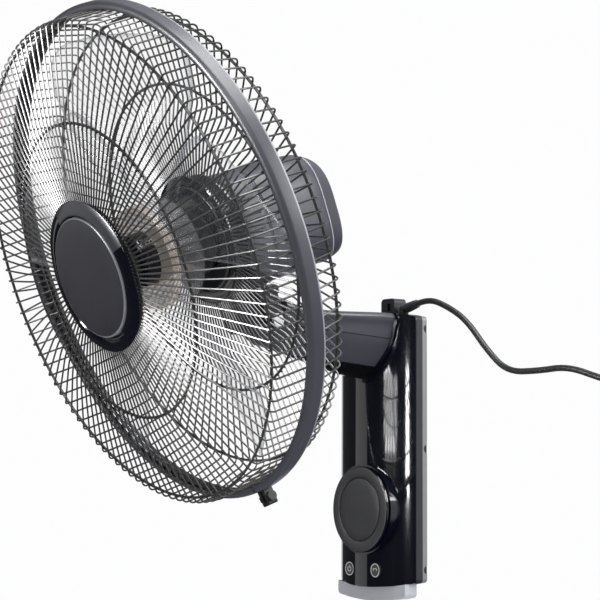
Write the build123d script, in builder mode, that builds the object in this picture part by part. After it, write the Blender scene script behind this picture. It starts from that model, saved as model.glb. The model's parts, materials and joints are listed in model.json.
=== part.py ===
from build123d import *
import os
from math import atan2, cos, degrees, dist, pi, radians, sin, sqrt, tan

# Wall mounted fan, in millimetres. The origin is the centre of the wall plate on the wall: the wall is
# the plane Y = 0, the room lies toward -Y, +X is right for someone who faces the wall and +Z is up.
# Depths are measured from the wall into the room. Heights are measured from the plate's centre.

os.makedirs("parts", exist_ok=True)

# ---- Fits ----
face_gap = 0.1            # between pieces that sit side by side
screw_clearance = 0.03    # round the shank of a screw or a turning shaft
loose_gap = 0.3           # round a piece that is slid in or clipped on

# ---- Column on the wall ----
column_half_width = 54.5
column_corner_height = 121.5   # height of the corners above the centre
column_end_rise = 5.0          # how far both ends arch past their corners
column_corner_radius = 4.0
plate_depth = 5.8
plate_inset = 0.5
plate_floor = 2.2
plate_rim = 2.5
notch_radius = 4.0
notch_height = 110.0
tray_depth = 7.0
tray_floor = 2.0
tray_wall = 2.4
cover_side_depth = 1.0
cover_wall = 2.4
bow_rise = 16.0
seam_height = 112.4
wall_hole_radius = 2.6
wall_hole_x = 30.0
wall_hole_z = 85.0
column_screw_x = 42.0
column_screw_z = 100.0
column_screw_radius = 1.5
column_screw_head_radius = 3.5
column_screw_head = 2.4
column_screw_length = 8.0      # of thread inside the cover's bosses
cover_boss_radius = 4.0

tray_back = plate_depth
tray_inside = tray_back + tray_floor
tray_front = tray_back + tray_depth
bow_front = tray_front + cover_side_depth + bow_rise
bow_radius = (column_half_width**2 + bow_rise**2) / (2 * bow_rise)
bow_centre = bow_front - bow_radius
column_end_height = column_corner_height + column_end_rise

# ---- Pieces on the column's ends ----
bottom_cap_inset = 6.0
bottom_cap_height = 13.0
bottom_cap_back = 8.0
bottom_cap_front = 22.0
lug_left = 10.0
lug_right = 29.0
lug_back = 4.0
lug_front = 18.0
lug_height = 12.5              # above the middle of the column's top
lug_corner = 4.0
lug_slot_width = 4.7
lug_slot_height = 7.0
lug_slot_x = 21.0
lug_slot_below_top = 8.0
tongue_width = 12.0
tongue_depth = 4.0
tongue_length = 6.0

# ---- Dial ----
dial_z = -55.5
bezel_inner = 36.0
bezel_outer = 41.5
bezel_rise = 2.8               # in front of the cover's bow
dial_radius = 39.6
dial_thickness = 3.0
dial_gap = 0.4
dial_groove_radius = 29.0
dial_groove = 0.8
dial_hub_radius = 7.0
dial_shaft_radius = 3.0
rotary_switch_side = 28.0
rotary_switch_back = 17.0
rotary_switch_front = 26.0

# ---- Buttons and control board ----
button_places = ((-25.0, -111.0), (15.0, -111.0))
button_radius = 6.6
button_gap = 0.25
button_proud = 0.8
button_flange_radius = 8.0
button_flange = 1.2
button_travel = 1.2
board_thickness = 1.6
board_height = 4.2             # of its standoffs
board_left = -37.5
board_right = 30.0
board_bottom = -118.0
board_top = -82.0
board_screw_inset = 4.0
board_screw_radius = 1.2
standoff_radius = 3.2
switch_side = 6.0
switch_body = 3.4
plunger_radius = 1.75
plunger_height = 0.8
press_gap = 1.3                # from plunger to stem, a little over the travel
button_spring_radius = 5.2
button_spring_wire = 0.6
button_spring_turns = 3.5
capacitor_size = (38.0, 14.0, 20.0)
capacitor_place = (-1.0, 15.0)
terminal_size = (40.0, 12.0, 16.0)
terminal_place = (10.0, 48.0)

# ---- Arm ----
arm_root_depth = 19.5
arm_wall = 2.4
arm_top_corner = 4.0
nose_depth = 150.0
# depth, half width, top and bottom of the arm's upright sections
arm_stations = (
    (arm_root_depth, 38.5, 124.0, 64.5),
    (60.0, 38.5, 124.0, 68.5),
    (100.0, 37.5, 123.5, 78.5),
    (nose_depth, 34.0, 131.0, 91.0),
)
# share of the half width against share of the height down from the top
arm_section_shape = ((0.96, 0.16), (0.87, 0.40), (0.70, 0.62), (0.43, 0.82), (0.19, 0.965))
arm_seam_height = 99.0         # of the seam where it would meet the wall
arm_seam_slope = 0.067
collar_thickness = 3.2
collar_rise = 3.2
beam_width = 22.0
beam_height = 16.0
beam_bottom = 101.0
beam_wall = 2.5
beam_flange = 3.0
beam_flange_half = 26.0
beam_flange_bottom = 68.0
beam_flange_top = 119.0
beam_screw_x = 20.0
beam_screw_low = 74.0
beam_screw_high = 112.0
beam_screw_radius = 2.5
beam_screw_head_radius = 4.5
beam_screw_head = 3.0
beam_boss_radius = 5.0
knuckle_radius = 7.4
arm_screw_depths = (60.0, 110.0)
arm_screw_radius = 1.7
arm_screw_head_radius = 3.5
arm_screw_head = 2.6
arm_boss_radius = 4.6
arm_screw_recess = 4.0

# ---- Tilt axis and neck ----
tilt_axis_depth = 156.0
tilt_axis_height = 111.5
tilt_down = 20.5               # at rest, below the horizontal
tilt_up_travel = 20.0
nose_boss_half = 26.2
cheek_gap = 0.4
cheek_thickness = 5.9
cheek_radius = 9.5
pocket_gap = 1.1
bridge_bottom = 22.0           # above the tilt axis, along the neck
bridge_thickness = 8.0
bridge_half_depth = 15.0
bridge_corner = 6.0
tilt_bolt_radius = 4.0
tilt_head_radius = 6.5
tilt_head = 3.4
tilt_nut = 4.0
nose_cut = 21.0

# ---- Head, placed from the guard's ring ----
neck_rise = 87.0               # from the tilt axis to the ring's centre, along the neck
pan_left = 3.4                 # at rest
pin_behind_ring = 74.3
pan_pin_radius = 5.0
washer_thickness = 1.0
washer_radius = 20.0
pan_boss_radius = 9.4
pan_boss_top = 39.5            # above the tilt axis
clip_thickness = 1.0
clip_radius = 9.0
lever_bottom = 42.8            # above the tilt axis
lever_thickness = 3.0
lever_length = 20.0
lever_root_radius = 8.0
lever_tip_radius = 5.0
link_thickness = 2.5
link_radius = 4.0
link_pin_radius = 2.0

# ---- Guard ----
ring_outer = 223.5
ring_inner = 217.4
ring_skin = 2.2
ring_half_depth = 6.0
rim_radius = 219.0
rim_wire = 1.9
rim_offset = 2.3
wire_radius = 0.95
front_wire_count = 124
rear_wire_count = 116
shoulder_radius = 215.5
shoulder_front = 41.0
shoulder_bend = 5.0
knee_radius = 137.0
knee_front = 57.4
knee_bend = 150.0
front_wire_end = 61.0
front_wire_end_front = 64.2
rear_shoulder_radius = 209.0
rear_shoulder_back = 34.5
rear_shoulder_bend = 7.0
rear_knee_radius = 128.0
rear_knee_back = 47.5
rear_knee_bend = 12.0
rear_step_radius = 106.0
rear_step_back = 39.0
rear_step_bend = 8.0
rear_wire_end = 49.0
hoop_wire = 1.3
front_hoops = (210.0, 131.0, 62.5)
rear_hoops = (202.9, 140.0)
clamp_angle = -75.0
clamp_opening = 5.0
clamp_lug_length = 14.0
clamp_lug_thickness = 3.0
clamp_lug_half_depth = 5.0
clamp_bolt_radius = 2.0
clamp_head_radius = 4.2
clamp_head = 3.2

# ---- Badge, left bare ----
badge_radius = 67.4
badge_plug_radius = 60.0
badge_lip_radius = 63.4
badge_rim_front = 69.4
badge_recess = 2.6
badge_disc_radius = 53.3
badge_disc_thickness = 5.5
badge_disc_bevel = 1.2

# ---- Motor ----
shell_half_width = 53.0
shell_bottom = -56.0
shell_top = 50.0
shell_corner = 24.0
shell_front = -42.5
shell_rear = -84.0
shell_wall = 3.0
shell_front_wall = 4.0
shell_edge = 8.0
vent_width = 3.0
vent_length = 24.0
vent_pitch = 7.0
vent_count = 5
vent_height = 11.0             # of the middle slot above the shaft
# distance behind the shell's rear edge, half width, top and bottom of the rear cover
rear_cover_stations = (
    (0.0, 52.0, 49.0, 55.0),
    (30.0, 51.8, 48.8, 55.0),
    (52.0, 50.0, 48.2, 55.0),
    (68.0, 46.0, 45.4, 54.8),
    (79.0, 40.5, 40.6, 53.8),
    (87.0, 33.6, 34.0, 50.6),
    (92.5, 26.0, 26.5, 43.0),
    (96.5, 17.0, 17.0, 29.0),
    (98.0, 8.0, 8.0, 12.0),
)
rear_cover_wall = 3.0
front_boss_radius = 13.9
front_boss_front = -28.0
bearing_outer = 11.0
bearing_width = 7.0
bearing_boss_radius = 14.0
shaft_radius = 4.0
shaft_front = 27.0
shaft_back = -158.0
shaft_hole_radius = 5.0
front_bearing_front = -50.0
rear_bearing_front = -129.0
stator_side = 66.0
stator_corner = 6.0
stator_front = -94.0
stator_back = -124.0
stator_bore = 23.5
rotor_radius = 23.0
rotor_overhang = 1.0
winding_inner = 24.5
winding_outer = 31.0
winding_length = 12.0
motor_bolt_place = 29.0
motor_bolt_radius = 1.9
motor_bolt_head_radius = 3.5
motor_bolt_head = 2.5
motor_post_radius = 4.0
motor_bolt_grip = 14.0
frame_front = -137.0
frame_thickness = 5.0
gear_case_left = -14.0
gear_case_right = 24.0
gear_case_bottom = -34.0
gear_case_top = 16.0
gear_case_length = 28.0
crank_x = 4.0
crank_behind_pin = 76.0
crank_radius = 15.5
crank_throw = 12.9
crank_hub_radius = 5.0
crank_shaft_radius = 3.0
crank_shaft_length = 14.0
crank_case_gap = 0.6

# ---- Guard plate, nut, hub and blades ----
plate_inner = 14.2
plate_outer = 47.0
plate_back = -42.5
plate_front = -40.0
guard_nut_radius = 20.0
guard_nut_flange_radius = 30.0
guard_nut_flange = 3.0
guard_nut_length = 10.0
guard_nut_bore = 14.0
blade_count = 5
blade_phase = 81.5
blade_tip_radius = 195.0
blade_thickness = 2.0
blade_camber = 0.06
# radius, chord and pitch of the blade sections
blade_sections = (
    (44.5, 54.0, 38.0),
    (80.0, 84.0, 32.0),
    (120.0, 122.0, 27.0),
    (160.0, 146.0, 23.0),
    (198.0, 138.0, 21.0),
)
drum_outer = 46.0
drum_inner = 44.0
drum_back = -16.0
drum_front = 16.5
web_thickness = 3.0
core_radius = 22.0
core_back = -8.0
core_front = 14.0
spinner_radius = 24.0
spinner_length = 18.0
spinner_depth = 14.0
drive_pin_radius = 1.5
drive_pin_half_length = 10.0
drive_pin_place = -5.0

# ---- Cord ----
cord_diameter = 5.5
gland_x = 36.0
gland_radius = 4.6
gland_foot = (14.0, 9.4, 2.0)
gland_top = 128.3
sleeve_angle = 12.0
sleeve_length = 20.0
sleeve_root_radius = 4.4
sleeve_end_radius = 3.5
cord_plane_depth = 8.0
coil_depth = 4.3
coil_layer_step = 6.0
coil_outer_radius = 39.0
coil_inner_radius = 21.0
coil_half_turn_step = 3.0
coil_start_x = 327.0
coil_start_z = 51.0
coil_tail = 48.0
tie_width = 6.0
tie_thickness = 1.2
tie_gap = 0.4
plug_size = (28.0, 15.0, 30.0)
plug_corner = 5.0
plug_neck_radius = 4.6
plug_neck_length = 12.0
plug_pin_radius = 2.0
plug_pin_length = 19.0
plug_pin_spacing = 19.0

# ---- Frames ----
tilt_place = Pos(0, -tilt_axis_depth, tilt_axis_height)
neck_frame = tilt_place * Rot(tilt_down, 0, 0)
head_frame = neck_frame * Pos(0, 0, neck_rise) * Rot(0, 0, -pan_left)
neck_plane = Plane(neck_frame)              # x right, y toward the wall, z along the neck
pan_plane = Plane(head_frame)               # the same, turned with the head, at the shaft's height
ring_plane = Plane(head_frame * Pos(0, -pin_behind_ring, 0) * Rot(90, 0, 0))   # x right, y up, z to the front
blade_axis = Axis(ring_plane.origin, ring_plane.z_dir)
axial_plane = Plane(origin=ring_plane.origin, x_dir=ring_plane.x_dir, z_dir=-ring_plane.y_dir)
clamp_plane = Plane(ring_plane.location * Rot(0, 0, clamp_angle))


def wall_plane(depth):
    """Upright plane at a depth in front of the wall, facing the room; its y is the height."""
    return Plane.XZ.offset(depth)


def bow_depth(x, inset=0):
    """Depth of the bowed cover's surface at a place across the column."""
    return sqrt((bow_radius - inset)**2 - x**2) + bow_centre


def round_sketch(plane, radius, places=((0, 0),)):
    """Equal circles at the given places."""
    with BuildSketch(plane) as outline:
        with Locations(*places):
            Circle(radius)
    return outline.sketch


def box_sketch(plane, width, height, places=((0, 0),)):
    """Equal rectangles at the given places."""
    with BuildSketch(plane) as outline:
        with Locations(*places):
            Rectangle(width, height)
    return outline.sketch


def ring_sketch(plane, outer, inner, places=((0, 0),)):
    """Equal rings at the given places."""
    with BuildSketch(plane) as outline:
        with Locations(*places):
            Circle(outer)
            Circle(inner, mode=Mode.SUBTRACT)
    return outline.sketch


def column_outline(plane, inset):
    """Tall rectangle whose two ends arch outward, smaller all round by the inset."""
    half = column_half_width - inset
    corner = column_corner_height - inset
    middle = corner + column_end_rise
    with BuildSketch(plane) as outline:
        with BuildLine():
            ThreePointArc((-half, corner), (0, middle), (half, corner))
            Line((half, corner), (half, -corner))
            ThreePointArc((half, -corner), (0, -middle), (-half, -corner))
            Line((-half, -corner), (-half, corner))
        make_face()
        fillet(outline.vertices(), column_corner_radius)
    return outline.sketch


def bow_cylinder(inset):
    """Round bar whose front is the bow of the cover, thinner by the inset."""
    with BuildPart(Plane.XY) as bar:
        with Locations((0, -bow_centre, 0)):
            Cylinder(bow_radius - inset, 3 * column_end_height)
    return bar.part


def bowed_block(inset):
    """Everything between the tray and the bowed front, smaller by the inset."""
    with BuildPart() as block:
        extrude(column_outline(wall_plane(tray_front), inset), amount=bow_front)
        add(bow_cylinder(inset), mode=Mode.INTERSECT)
    return block.part


def arm_section(depth, half, top, bottom, whole=True):
    """Flat-topped section with a rounded keel; or only its right half."""
    height = top - bottom
    middle = arm_top_corner * (1 - cos(pi / 4))
    flank = [(half * share, top - height * fall) for share, fall in arm_section_shape]
    with BuildSketch(wall_plane(depth)) as outline:
        with BuildLine():
            Line((0, top), (half - arm_top_corner, top))
            ThreePointArc((half - arm_top_corner, top), (half - middle, top - middle), (half, top - arm_top_corner))
            Spline((half, top - arm_top_corner), *flank, (0, bottom), tangents=[(0, -1), (-1, 0)])
            if whole:
                mirror(about=Plane.YZ)
            else:
                Line((0, bottom), (0, top))
        make_face()
    return outline.sketch


def cheek_pockets(grown):
    """Room beside the nose for the neck's cheeks over the whole tilt, larger by the wall where needed."""
    radius = cheek_radius + pocket_gap + grown
    start = nose_boss_half - grown
    middle = start + column_half_width / 2
    with BuildPart() as pockets:
        for side in (-1, 1):
            with Locations(tilt_place * Pos(side * middle, 0, 0)):
                Cylinder(radius, column_half_width, rotation=(0, 90, 0))
            for angle in (tilt_down, tilt_down - tilt_up_travel / 2, tilt_down - tilt_up_travel):
                with Locations(tilt_place * Rot(angle, 0, 0) * Pos(side * middle, 0, 0)):
                    Box(column_half_width, 2 * radius, neck_rise, align=(Align.CENTER, Align.CENTER, Align.MIN))
    return pockets.part


def arm_solid(inset):
    """The whole arm as a full body, smaller all round by the inset."""
    with BuildPart() as body:
        loft([arm_section(depth, half - inset, top - inset, bottom + inset)
              for depth, half, top, bottom in arm_stations])
        depth, half, top, bottom = arm_stations[-1]
        revolve(arm_section(depth, half - inset, top - inset, bottom + inset, whole=False),
                axis=Axis((0, -depth, 0), (0, 0, -1)), revolution_arc=180)
        add(cheek_pockets(inset), mode=Mode.SUBTRACT)
        with Locations(tilt_place):
            Cylinder(cheek_radius + loose_gap - inset, 2 * (nose_boss_half - inset), rotation=(0, 90, 0))
        with Locations(neck_frame * Pos(0, 0, nose_cut - inset)):
            Box(4 * nose_depth, nose_depth, neck_rise, align=(Align.CENTER, Align.CENTER, Align.MIN),
                mode=Mode.SUBTRACT)
    return body.part


def collar_prism(grown):
    """Straight prism round the arm's root, open to the room, larger by the clearance."""
    depth, half, top, bottom = arm_stations[0]
    reach = collar_thickness + grown
    with BuildPart() as prism:
        extrude(arm_section(depth - grown, half + reach, top + grown, bottom - reach), amount=bow_front)
    return prism.part


def guard_wire(points, bends):
    """One guard wire, bent in the plane through the shaft; x is the radius and z the front."""
    with BuildPart() as wire:
        with BuildLine(Plane.XZ) as route:
            FilletPolyline(*points, radius=bends)
        with BuildSketch(Plane(origin=route.line @ 0, z_dir=route.line % 0)):
            Circle(wire_radius)
        sweep(path=route.line)
    return wire.part


def cord_radii(points):
    """Arc at each corner: 0.45 of its shorter run over the tangent of half its turn."""
    radii = []
    for before, corner, after in zip(points, points[1:], points[2:]):
        run_in = Vector(*corner) - Vector(*before)
        run_out = Vector(*after) - Vector(*corner)
        half_turn = radians(run_in.get_angle(run_out) / 2)
        radii.append(0.45 * min(run_in.length, run_out.length) / tan(half_turn))
    return radii


# ================= Held by the wall =================

wall_holes = [(x, z) for x in (-wall_hole_x, wall_hole_x) for z in (-wall_hole_z, wall_hole_z)]
beam_screw_places = [(x, z) for x in (-beam_screw_x, beam_screw_x) for z in (beam_screw_low, beam_screw_high)]
column_screw_places = [(x, z) for x in (-column_screw_x, column_screw_x)
                       for z in (-column_screw_z, column_screw_z)]

# The plate is a shallow dish with a rim; bosses take the screws of the beam.
with BuildPart() as wall_plate:
    extrude(column_outline(wall_plane(0), plate_inset), amount=plate_depth)
    extrude(column_outline(wall_plane(plate_floor), plate_inset + plate_rim), amount=plate_depth,
            mode=Mode.SUBTRACT)
    extrude(round_sketch(wall_plane(0), beam_boss_radius, beam_screw_places), amount=plate_depth)
    extrude(round_sketch(wall_plane(plate_floor), beam_screw_radius + screw_clearance, beam_screw_places),
            amount=plate_depth, mode=Mode.SUBTRACT)
    extrude(round_sketch(wall_plane(0), wall_hole_radius, wall_holes), amount=plate_floor, mode=Mode.SUBTRACT)
    with Locations(*[(x, 0, z) for x in (-column_half_width, column_half_width)
                     for z in (-notch_height, 0, notch_height)]):
        Cylinder(notch_radius, 4 * plate_rim, rotation=(0, 90, 0), mode=Mode.SUBTRACT)

# The gland stands half in the tray's top wall and half in the cap's.
with BuildPart() as gland_hole:
    with Locations((gland_x, -tray_front, column_end_height)):
        Cylinder(gland_radius + face_gap, 8 * tray_wall)

tongue_x = (lug_left + lug_right) / 2
tongue_middle = tray_inside + tongue_depth / 2 + loose_gap
column_back_board_places = [(x, z) for x in (board_left + board_screw_inset, board_right - board_screw_inset)
                            for z in (board_bottom + board_screw_inset, board_top - board_screw_inset)]
board_back = tray_inside + board_height
board_front = board_back + board_thickness

with BuildPart() as column_back:
    extrude(column_outline(wall_plane(tray_back), 0), amount=tray_depth)
    extrude(column_outline(wall_plane(tray_inside), tray_wall), amount=tray_depth, mode=Mode.SUBTRACT)
    extrude(round_sketch(wall_plane(tray_back), standoff_radius, column_back_board_places),
            amount=board_back - tray_back)
    extrude(round_sketch(wall_plane(tray_inside), board_screw_radius + screw_clearance,
                         column_back_board_places), amount=board_height, mode=Mode.SUBTRACT)
    extrude(round_sketch(wall_plane(tray_back), beam_screw_radius + face_gap, beam_screw_places),
            amount=tray_floor, mode=Mode.SUBTRACT)
    extrude(round_sketch(wall_plane(tray_back), column_screw_radius + screw_clearance, column_screw_places),
            amount=tray_floor, mode=Mode.SUBTRACT)
    with Locations((tongue_x, -tongue_middle, column_end_height)):
        Box(tongue_width + 2 * loose_gap, tongue_depth + 2 * loose_gap, 8 * tray_wall, mode=Mode.SUBTRACT)
    add(gland_hole.part, mode=Mode.SUBTRACT)

# Bosses reach from the tray's floor into the wall of the bowed front.
with BuildPart() as cover_bosses:
    extrude(round_sketch(wall_plane(tray_inside), cover_boss_radius, column_screw_places), amount=bow_front)
    add(bow_cylinder(cover_wall / 2), mode=Mode.INTERSECT)

with BuildPart() as bow_shell:
    add(bowed_block(0))
    add(bowed_block(cover_wall), mode=Mode.SUBTRACT)
    add(collar_prism(face_gap), mode=Mode.SUBTRACT)
    add(arm_solid(-face_gap), mode=Mode.SUBTRACT)

with BuildPart() as column_front:
    add(bow_shell.part)
    split(bisect_by=Plane.XY.offset(seam_height), keep=Keep.BOTTOM)
    add(cover_bosses.part)
    extrude(round_sketch(wall_plane(tray_inside), column_screw_radius + screw_clearance, column_screw_places),
            amount=column_screw_length, mode=Mode.SUBTRACT)
    extrude(round_sketch(wall_plane(tray_front), dial_hub_radius + 2 * loose_gap, ((0, dial_z),)),
            amount=bow_front, mode=Mode.SUBTRACT)
    extrude(round_sketch(wall_plane(tray_front), button_radius + button_gap, button_places),
            amount=bow_front, mode=Mode.SUBTRACT)

with BuildPart() as top_cap:
    add(bow_shell.part)
    split(bisect_by=Plane.XY.offset(seam_height), keep=Keep.TOP)
    add(gland_hole.part, mode=Mode.SUBTRACT)

with BuildPart() as column_screws:
    extrude(round_sketch(wall_plane(tray_back - column_screw_head), column_screw_head_radius,
                         column_screw_places), amount=column_screw_head)
    extrude(round_sketch(wall_plane(tray_back), column_screw_radius, column_screw_places),
            amount=tray_floor + column_screw_length - loose_gap)

cap_drop = bottom_cap_height + bottom_cap_inset
bottom_cap_plane = Plane(origin=(0, -bottom_cap_back, -cap_drop), x_dir=(1, 0, 0), z_dir=(0, -1, 0))
with BuildPart() as bottom_cap:
    extrude(column_outline(bottom_cap_plane, bottom_cap_inset), amount=bottom_cap_front - bottom_cap_back)
    extrude(column_outline(wall_plane(0), -face_gap), amount=2 * bottom_cap_front, mode=Mode.SUBTRACT)

lug_top = column_end_height + lug_height
with BuildPart() as hanging_lug:
    with BuildSketch(wall_plane(lug_back)) as lug_outline:
        with Locations((tongue_x, lug_top)):
            Rectangle(lug_right - lug_left, 2 * lug_height, align=(Align.CENTER, Align.MAX))
        fillet(lug_outline.vertices().group_by(Axis.Y)[-1], lug_corner)
        with Locations((lug_slot_x, lug_top - lug_slot_below_top)):
            Rectangle(lug_slot_width, lug_slot_height, mode=Mode.SUBTRACT)
    extrude(amount=lug_front - lug_back)
    extrude(column_outline(wall_plane(0), -face_gap), amount=2 * lug_front, mode=Mode.SUBTRACT)
    with Locations((tongue_x, -tongue_middle, column_end_height + lug_height / 4)):
        Box(tongue_width, tongue_depth, tongue_length + lug_height / 4,
            align=(Align.CENTER, Align.CENTER, Align.MAX))

# ================= Dial and its switch =================

bezel_front = bow_front + bezel_rise
dial_back = bezel_front + dial_gap
dial_place = ((0, dial_z),)
with BuildPart() as dial_bezel:
    extrude(ring_sketch(wall_plane(tray_front), bezel_outer, bezel_inner, dial_place),
            amount=bezel_front - tray_front)
    add(bow_cylinder(-face_gap), mode=Mode.SUBTRACT)

with BuildPart() as dial:
    extrude(round_sketch(wall_plane(dial_back), dial_radius, dial_place), amount=dial_thickness)
    fillet(dial.faces().sort_by(Axis.Y)[0].edges(), dial_groove)
    extrude(ring_sketch(wall_plane(dial_back + dial_thickness - dial_groove), dial_groove_radius + dial_groove,
                        dial_groove_radius - dial_groove, dial_place), amount=dial_groove, mode=Mode.SUBTRACT)
    extrude(round_sketch(wall_plane(rotary_switch_front + loose_gap), dial_hub_radius, dial_place),
            amount=dial_back - rotary_switch_front - loose_gap)
    extrude(round_sketch(wall_plane(rotary_switch_front), dial_shaft_radius + screw_clearance, dial_place),
            amount=dial_back + dial_thickness / 2 - rotary_switch_front, mode=Mode.SUBTRACT)

with BuildPart() as dial_shaft:
    extrude(round_sketch(wall_plane(rotary_switch_back + cover_side_depth), dial_shaft_radius, dial_place),
            amount=dial_back + dial_thickness / 2 - rotary_switch_back - cover_side_depth - face_gap)

# The switch stands on a pillar of its own from the tray's floor.
with BuildPart() as rotary_switch:
    extrude(box_sketch(wall_plane(rotary_switch_back), rotary_switch_side, rotary_switch_side, dial_place),
            amount=rotary_switch_front - rotary_switch_back)
    extrude(box_sketch(wall_plane(tray_inside), rotary_switch_side / 2, rotary_switch_side / 2, dial_place),
            amount=rotary_switch_back - tray_inside)
    extrude(round_sketch(wall_plane(rotary_switch_back + cover_side_depth - face_gap),
                         dial_shaft_radius + screw_clearance, dial_place),
            amount=rotary_switch_front, mode=Mode.SUBTRACT)

# ================= Buttons and board =================

switch_front = board_front + switch_body
plunger_front = switch_front + plunger_height
stem_back = plunger_front + press_gap
flange_back = stem_back + loose_gap


def push_button(place):
    """Cap through the cover with a flange behind it and a short stem that meets the switch."""
    x = place[0]
    with BuildPart() as cap:
        extrude(round_sketch(wall_plane(stem_back), plunger_radius + loose_gap, (place,)), amount=button_flange)
        extrude(round_sketch(wall_plane(flange_back), button_flange_radius, (place,)), amount=button_flange)
        extrude(round_sketch(wall_plane(flange_back), button_radius, (place,)),
                amount=bow_depth(x) + button_proud - flange_back)
        fillet(cap.faces().sort_by(Axis.Y)[0].edges(), button_proud / 2)
    return cap.part


with BuildPart() as button_left:
    add(push_button(button_places[0]))

with BuildPart() as button_right:
    add(push_button(button_places[1]))

spring_height = flange_back - board_front - button_spring_wire - 2 * face_gap
with BuildPart() as button_spring:
    with BuildLine() as spring_line:
        Helix(spring_height / button_spring_turns, spring_height, button_spring_radius)
    with BuildSketch(Plane(origin=spring_line.line @ 0, z_dir=spring_line.line % 0)):
        Circle(button_spring_wire / 2)
    sweep(path=spring_line.line, is_frenet=True)

with BuildPart(wall_plane(board_front + button_spring_wire / 2 + face_gap)) as left_spring:
    with Locations(button_places[0]):
        add(button_spring.part)

with BuildPart(wall_plane(board_front + button_spring_wire / 2 + face_gap)) as right_spring:
    with Locations(button_places[1]):
        add(button_spring.part)

with BuildPart() as control_board:
    extrude(box_sketch(wall_plane(board_back), board_right - board_left, board_top - board_bottom,
                       (((board_left + board_right) / 2, (board_bottom + board_top) / 2),)),
            amount=board_thickness)
    extrude(round_sketch(wall_plane(board_back), board_screw_radius + screw_clearance,
                         column_back_board_places), amount=board_thickness, mode=Mode.SUBTRACT)

with BuildPart() as tact_switches:
    extrude(box_sketch(wall_plane(board_front), switch_side, switch_side, button_places), amount=switch_body)
    extrude(round_sketch(wall_plane(switch_front), plunger_radius, button_places), amount=plunger_height)

with BuildPart() as board_screws:
    extrude(round_sketch(wall_plane(board_front), 2 * board_screw_radius, column_back_board_places),
            amount=board_screw_radius)
    extrude(round_sketch(wall_plane(tray_inside + loose_gap), board_screw_radius, column_back_board_places),
            amount=board_front - tray_inside - loose_gap)

with BuildPart() as capacitor:
    extrude(box_sketch(wall_plane(tray_inside), capacitor_size[0], capacitor_size[2], (capacitor_place,)),
            amount=capacitor_size[1])
    fillet(capacitor.edges().filter_by(Axis.Y), column_corner_radius / 2)

with BuildPart() as terminal_block:
    extrude(box_sketch(wall_plane(tray_inside), terminal_size[0], terminal_size[2], (terminal_place,)),
            amount=terminal_size[1])
    pocket = terminal_size[0] / 4
    extrude(box_sketch(wall_plane(tray_inside + terminal_size[1] / 2), pocket / 2, terminal_size[2],
                       [(terminal_place[0] + step * pocket, terminal_place[1]) for step in (-1, 0, 1)]),
            amount=terminal_size[1], mode=Mode.SUBTRACT)

# ================= Arm =================

beam_front_places = [(0, -depth) for depth in arm_screw_depths]


def arm_bottom(depth):
    """Height of the keel at a depth, read between two stations."""
    for (near, _, _, low_near), (far, _, _, low_far) in zip(arm_stations, arm_stations[1:]):
        if near <= depth <= far:
            return low_near + (low_far - low_near) * (depth - near) / (far - near)
    return arm_stations[-1][3]


with BuildPart() as arm_shell:
    add(arm_solid(0))
    add(arm_solid(arm_wall), mode=Mode.SUBTRACT)
    with Locations(tilt_place):
        Cylinder(tilt_bolt_radius + loose_gap, 4 * nose_boss_half, rotation=(0, 90, 0), mode=Mode.SUBTRACT)

with BuildPart() as arm_bosses:
    extrude(round_sketch(Plane.XY, arm_boss_radius, beam_front_places), amount=beam_bottom)
    add(arm_solid(arm_wall / 2), mode=Mode.INTERSECT)

arm_seam = Plane(origin=(0, 0, arm_seam_height), x_dir=(1, 0, 0), z_dir=(0, arm_seam_slope, 1))
with BuildPart() as arm_upper:
    add(arm_shell.part)
    split(bisect_by=arm_seam, keep=Keep.TOP)

with BuildPart() as arm_lower:
    add(arm_shell.part)
    split(bisect_by=arm_seam, keep=Keep.BOTTOM)
    add(arm_bosses.part)
    for depth in arm_screw_depths:
        seat = arm_bottom(depth) + arm_screw_recess + arm_screw_head
        extrude(round_sketch(Plane.XY, arm_screw_radius + screw_clearance, ((0, -depth),)),
                amount=beam_bottom, mode=Mode.SUBTRACT)
        extrude(round_sketch(Plane.XY, arm_screw_head_radius + loose_gap, ((0, -depth),)),
                amount=seat, mode=Mode.SUBTRACT)

with BuildPart() as arm_screws:
    for depth in arm_screw_depths:
        seat = arm_bottom(depth) + arm_screw_recess + arm_screw_head
        extrude(round_sketch(Plane.XY.offset(seat - arm_screw_head), arm_screw_head_radius, ((0, -depth),)),
                amount=arm_screw_head)
        extrude(round_sketch(Plane.XY.offset(seat), arm_screw_radius, ((0, -depth),)),
                amount=beam_bottom + beam_wall - seat)

with BuildPart() as arm_collar:
    add(collar_prism(0))
    add(bow_cylinder(-collar_rise), mode=Mode.INTERSECT)
    add(arm_solid(-face_gap), mode=Mode.SUBTRACT)

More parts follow.
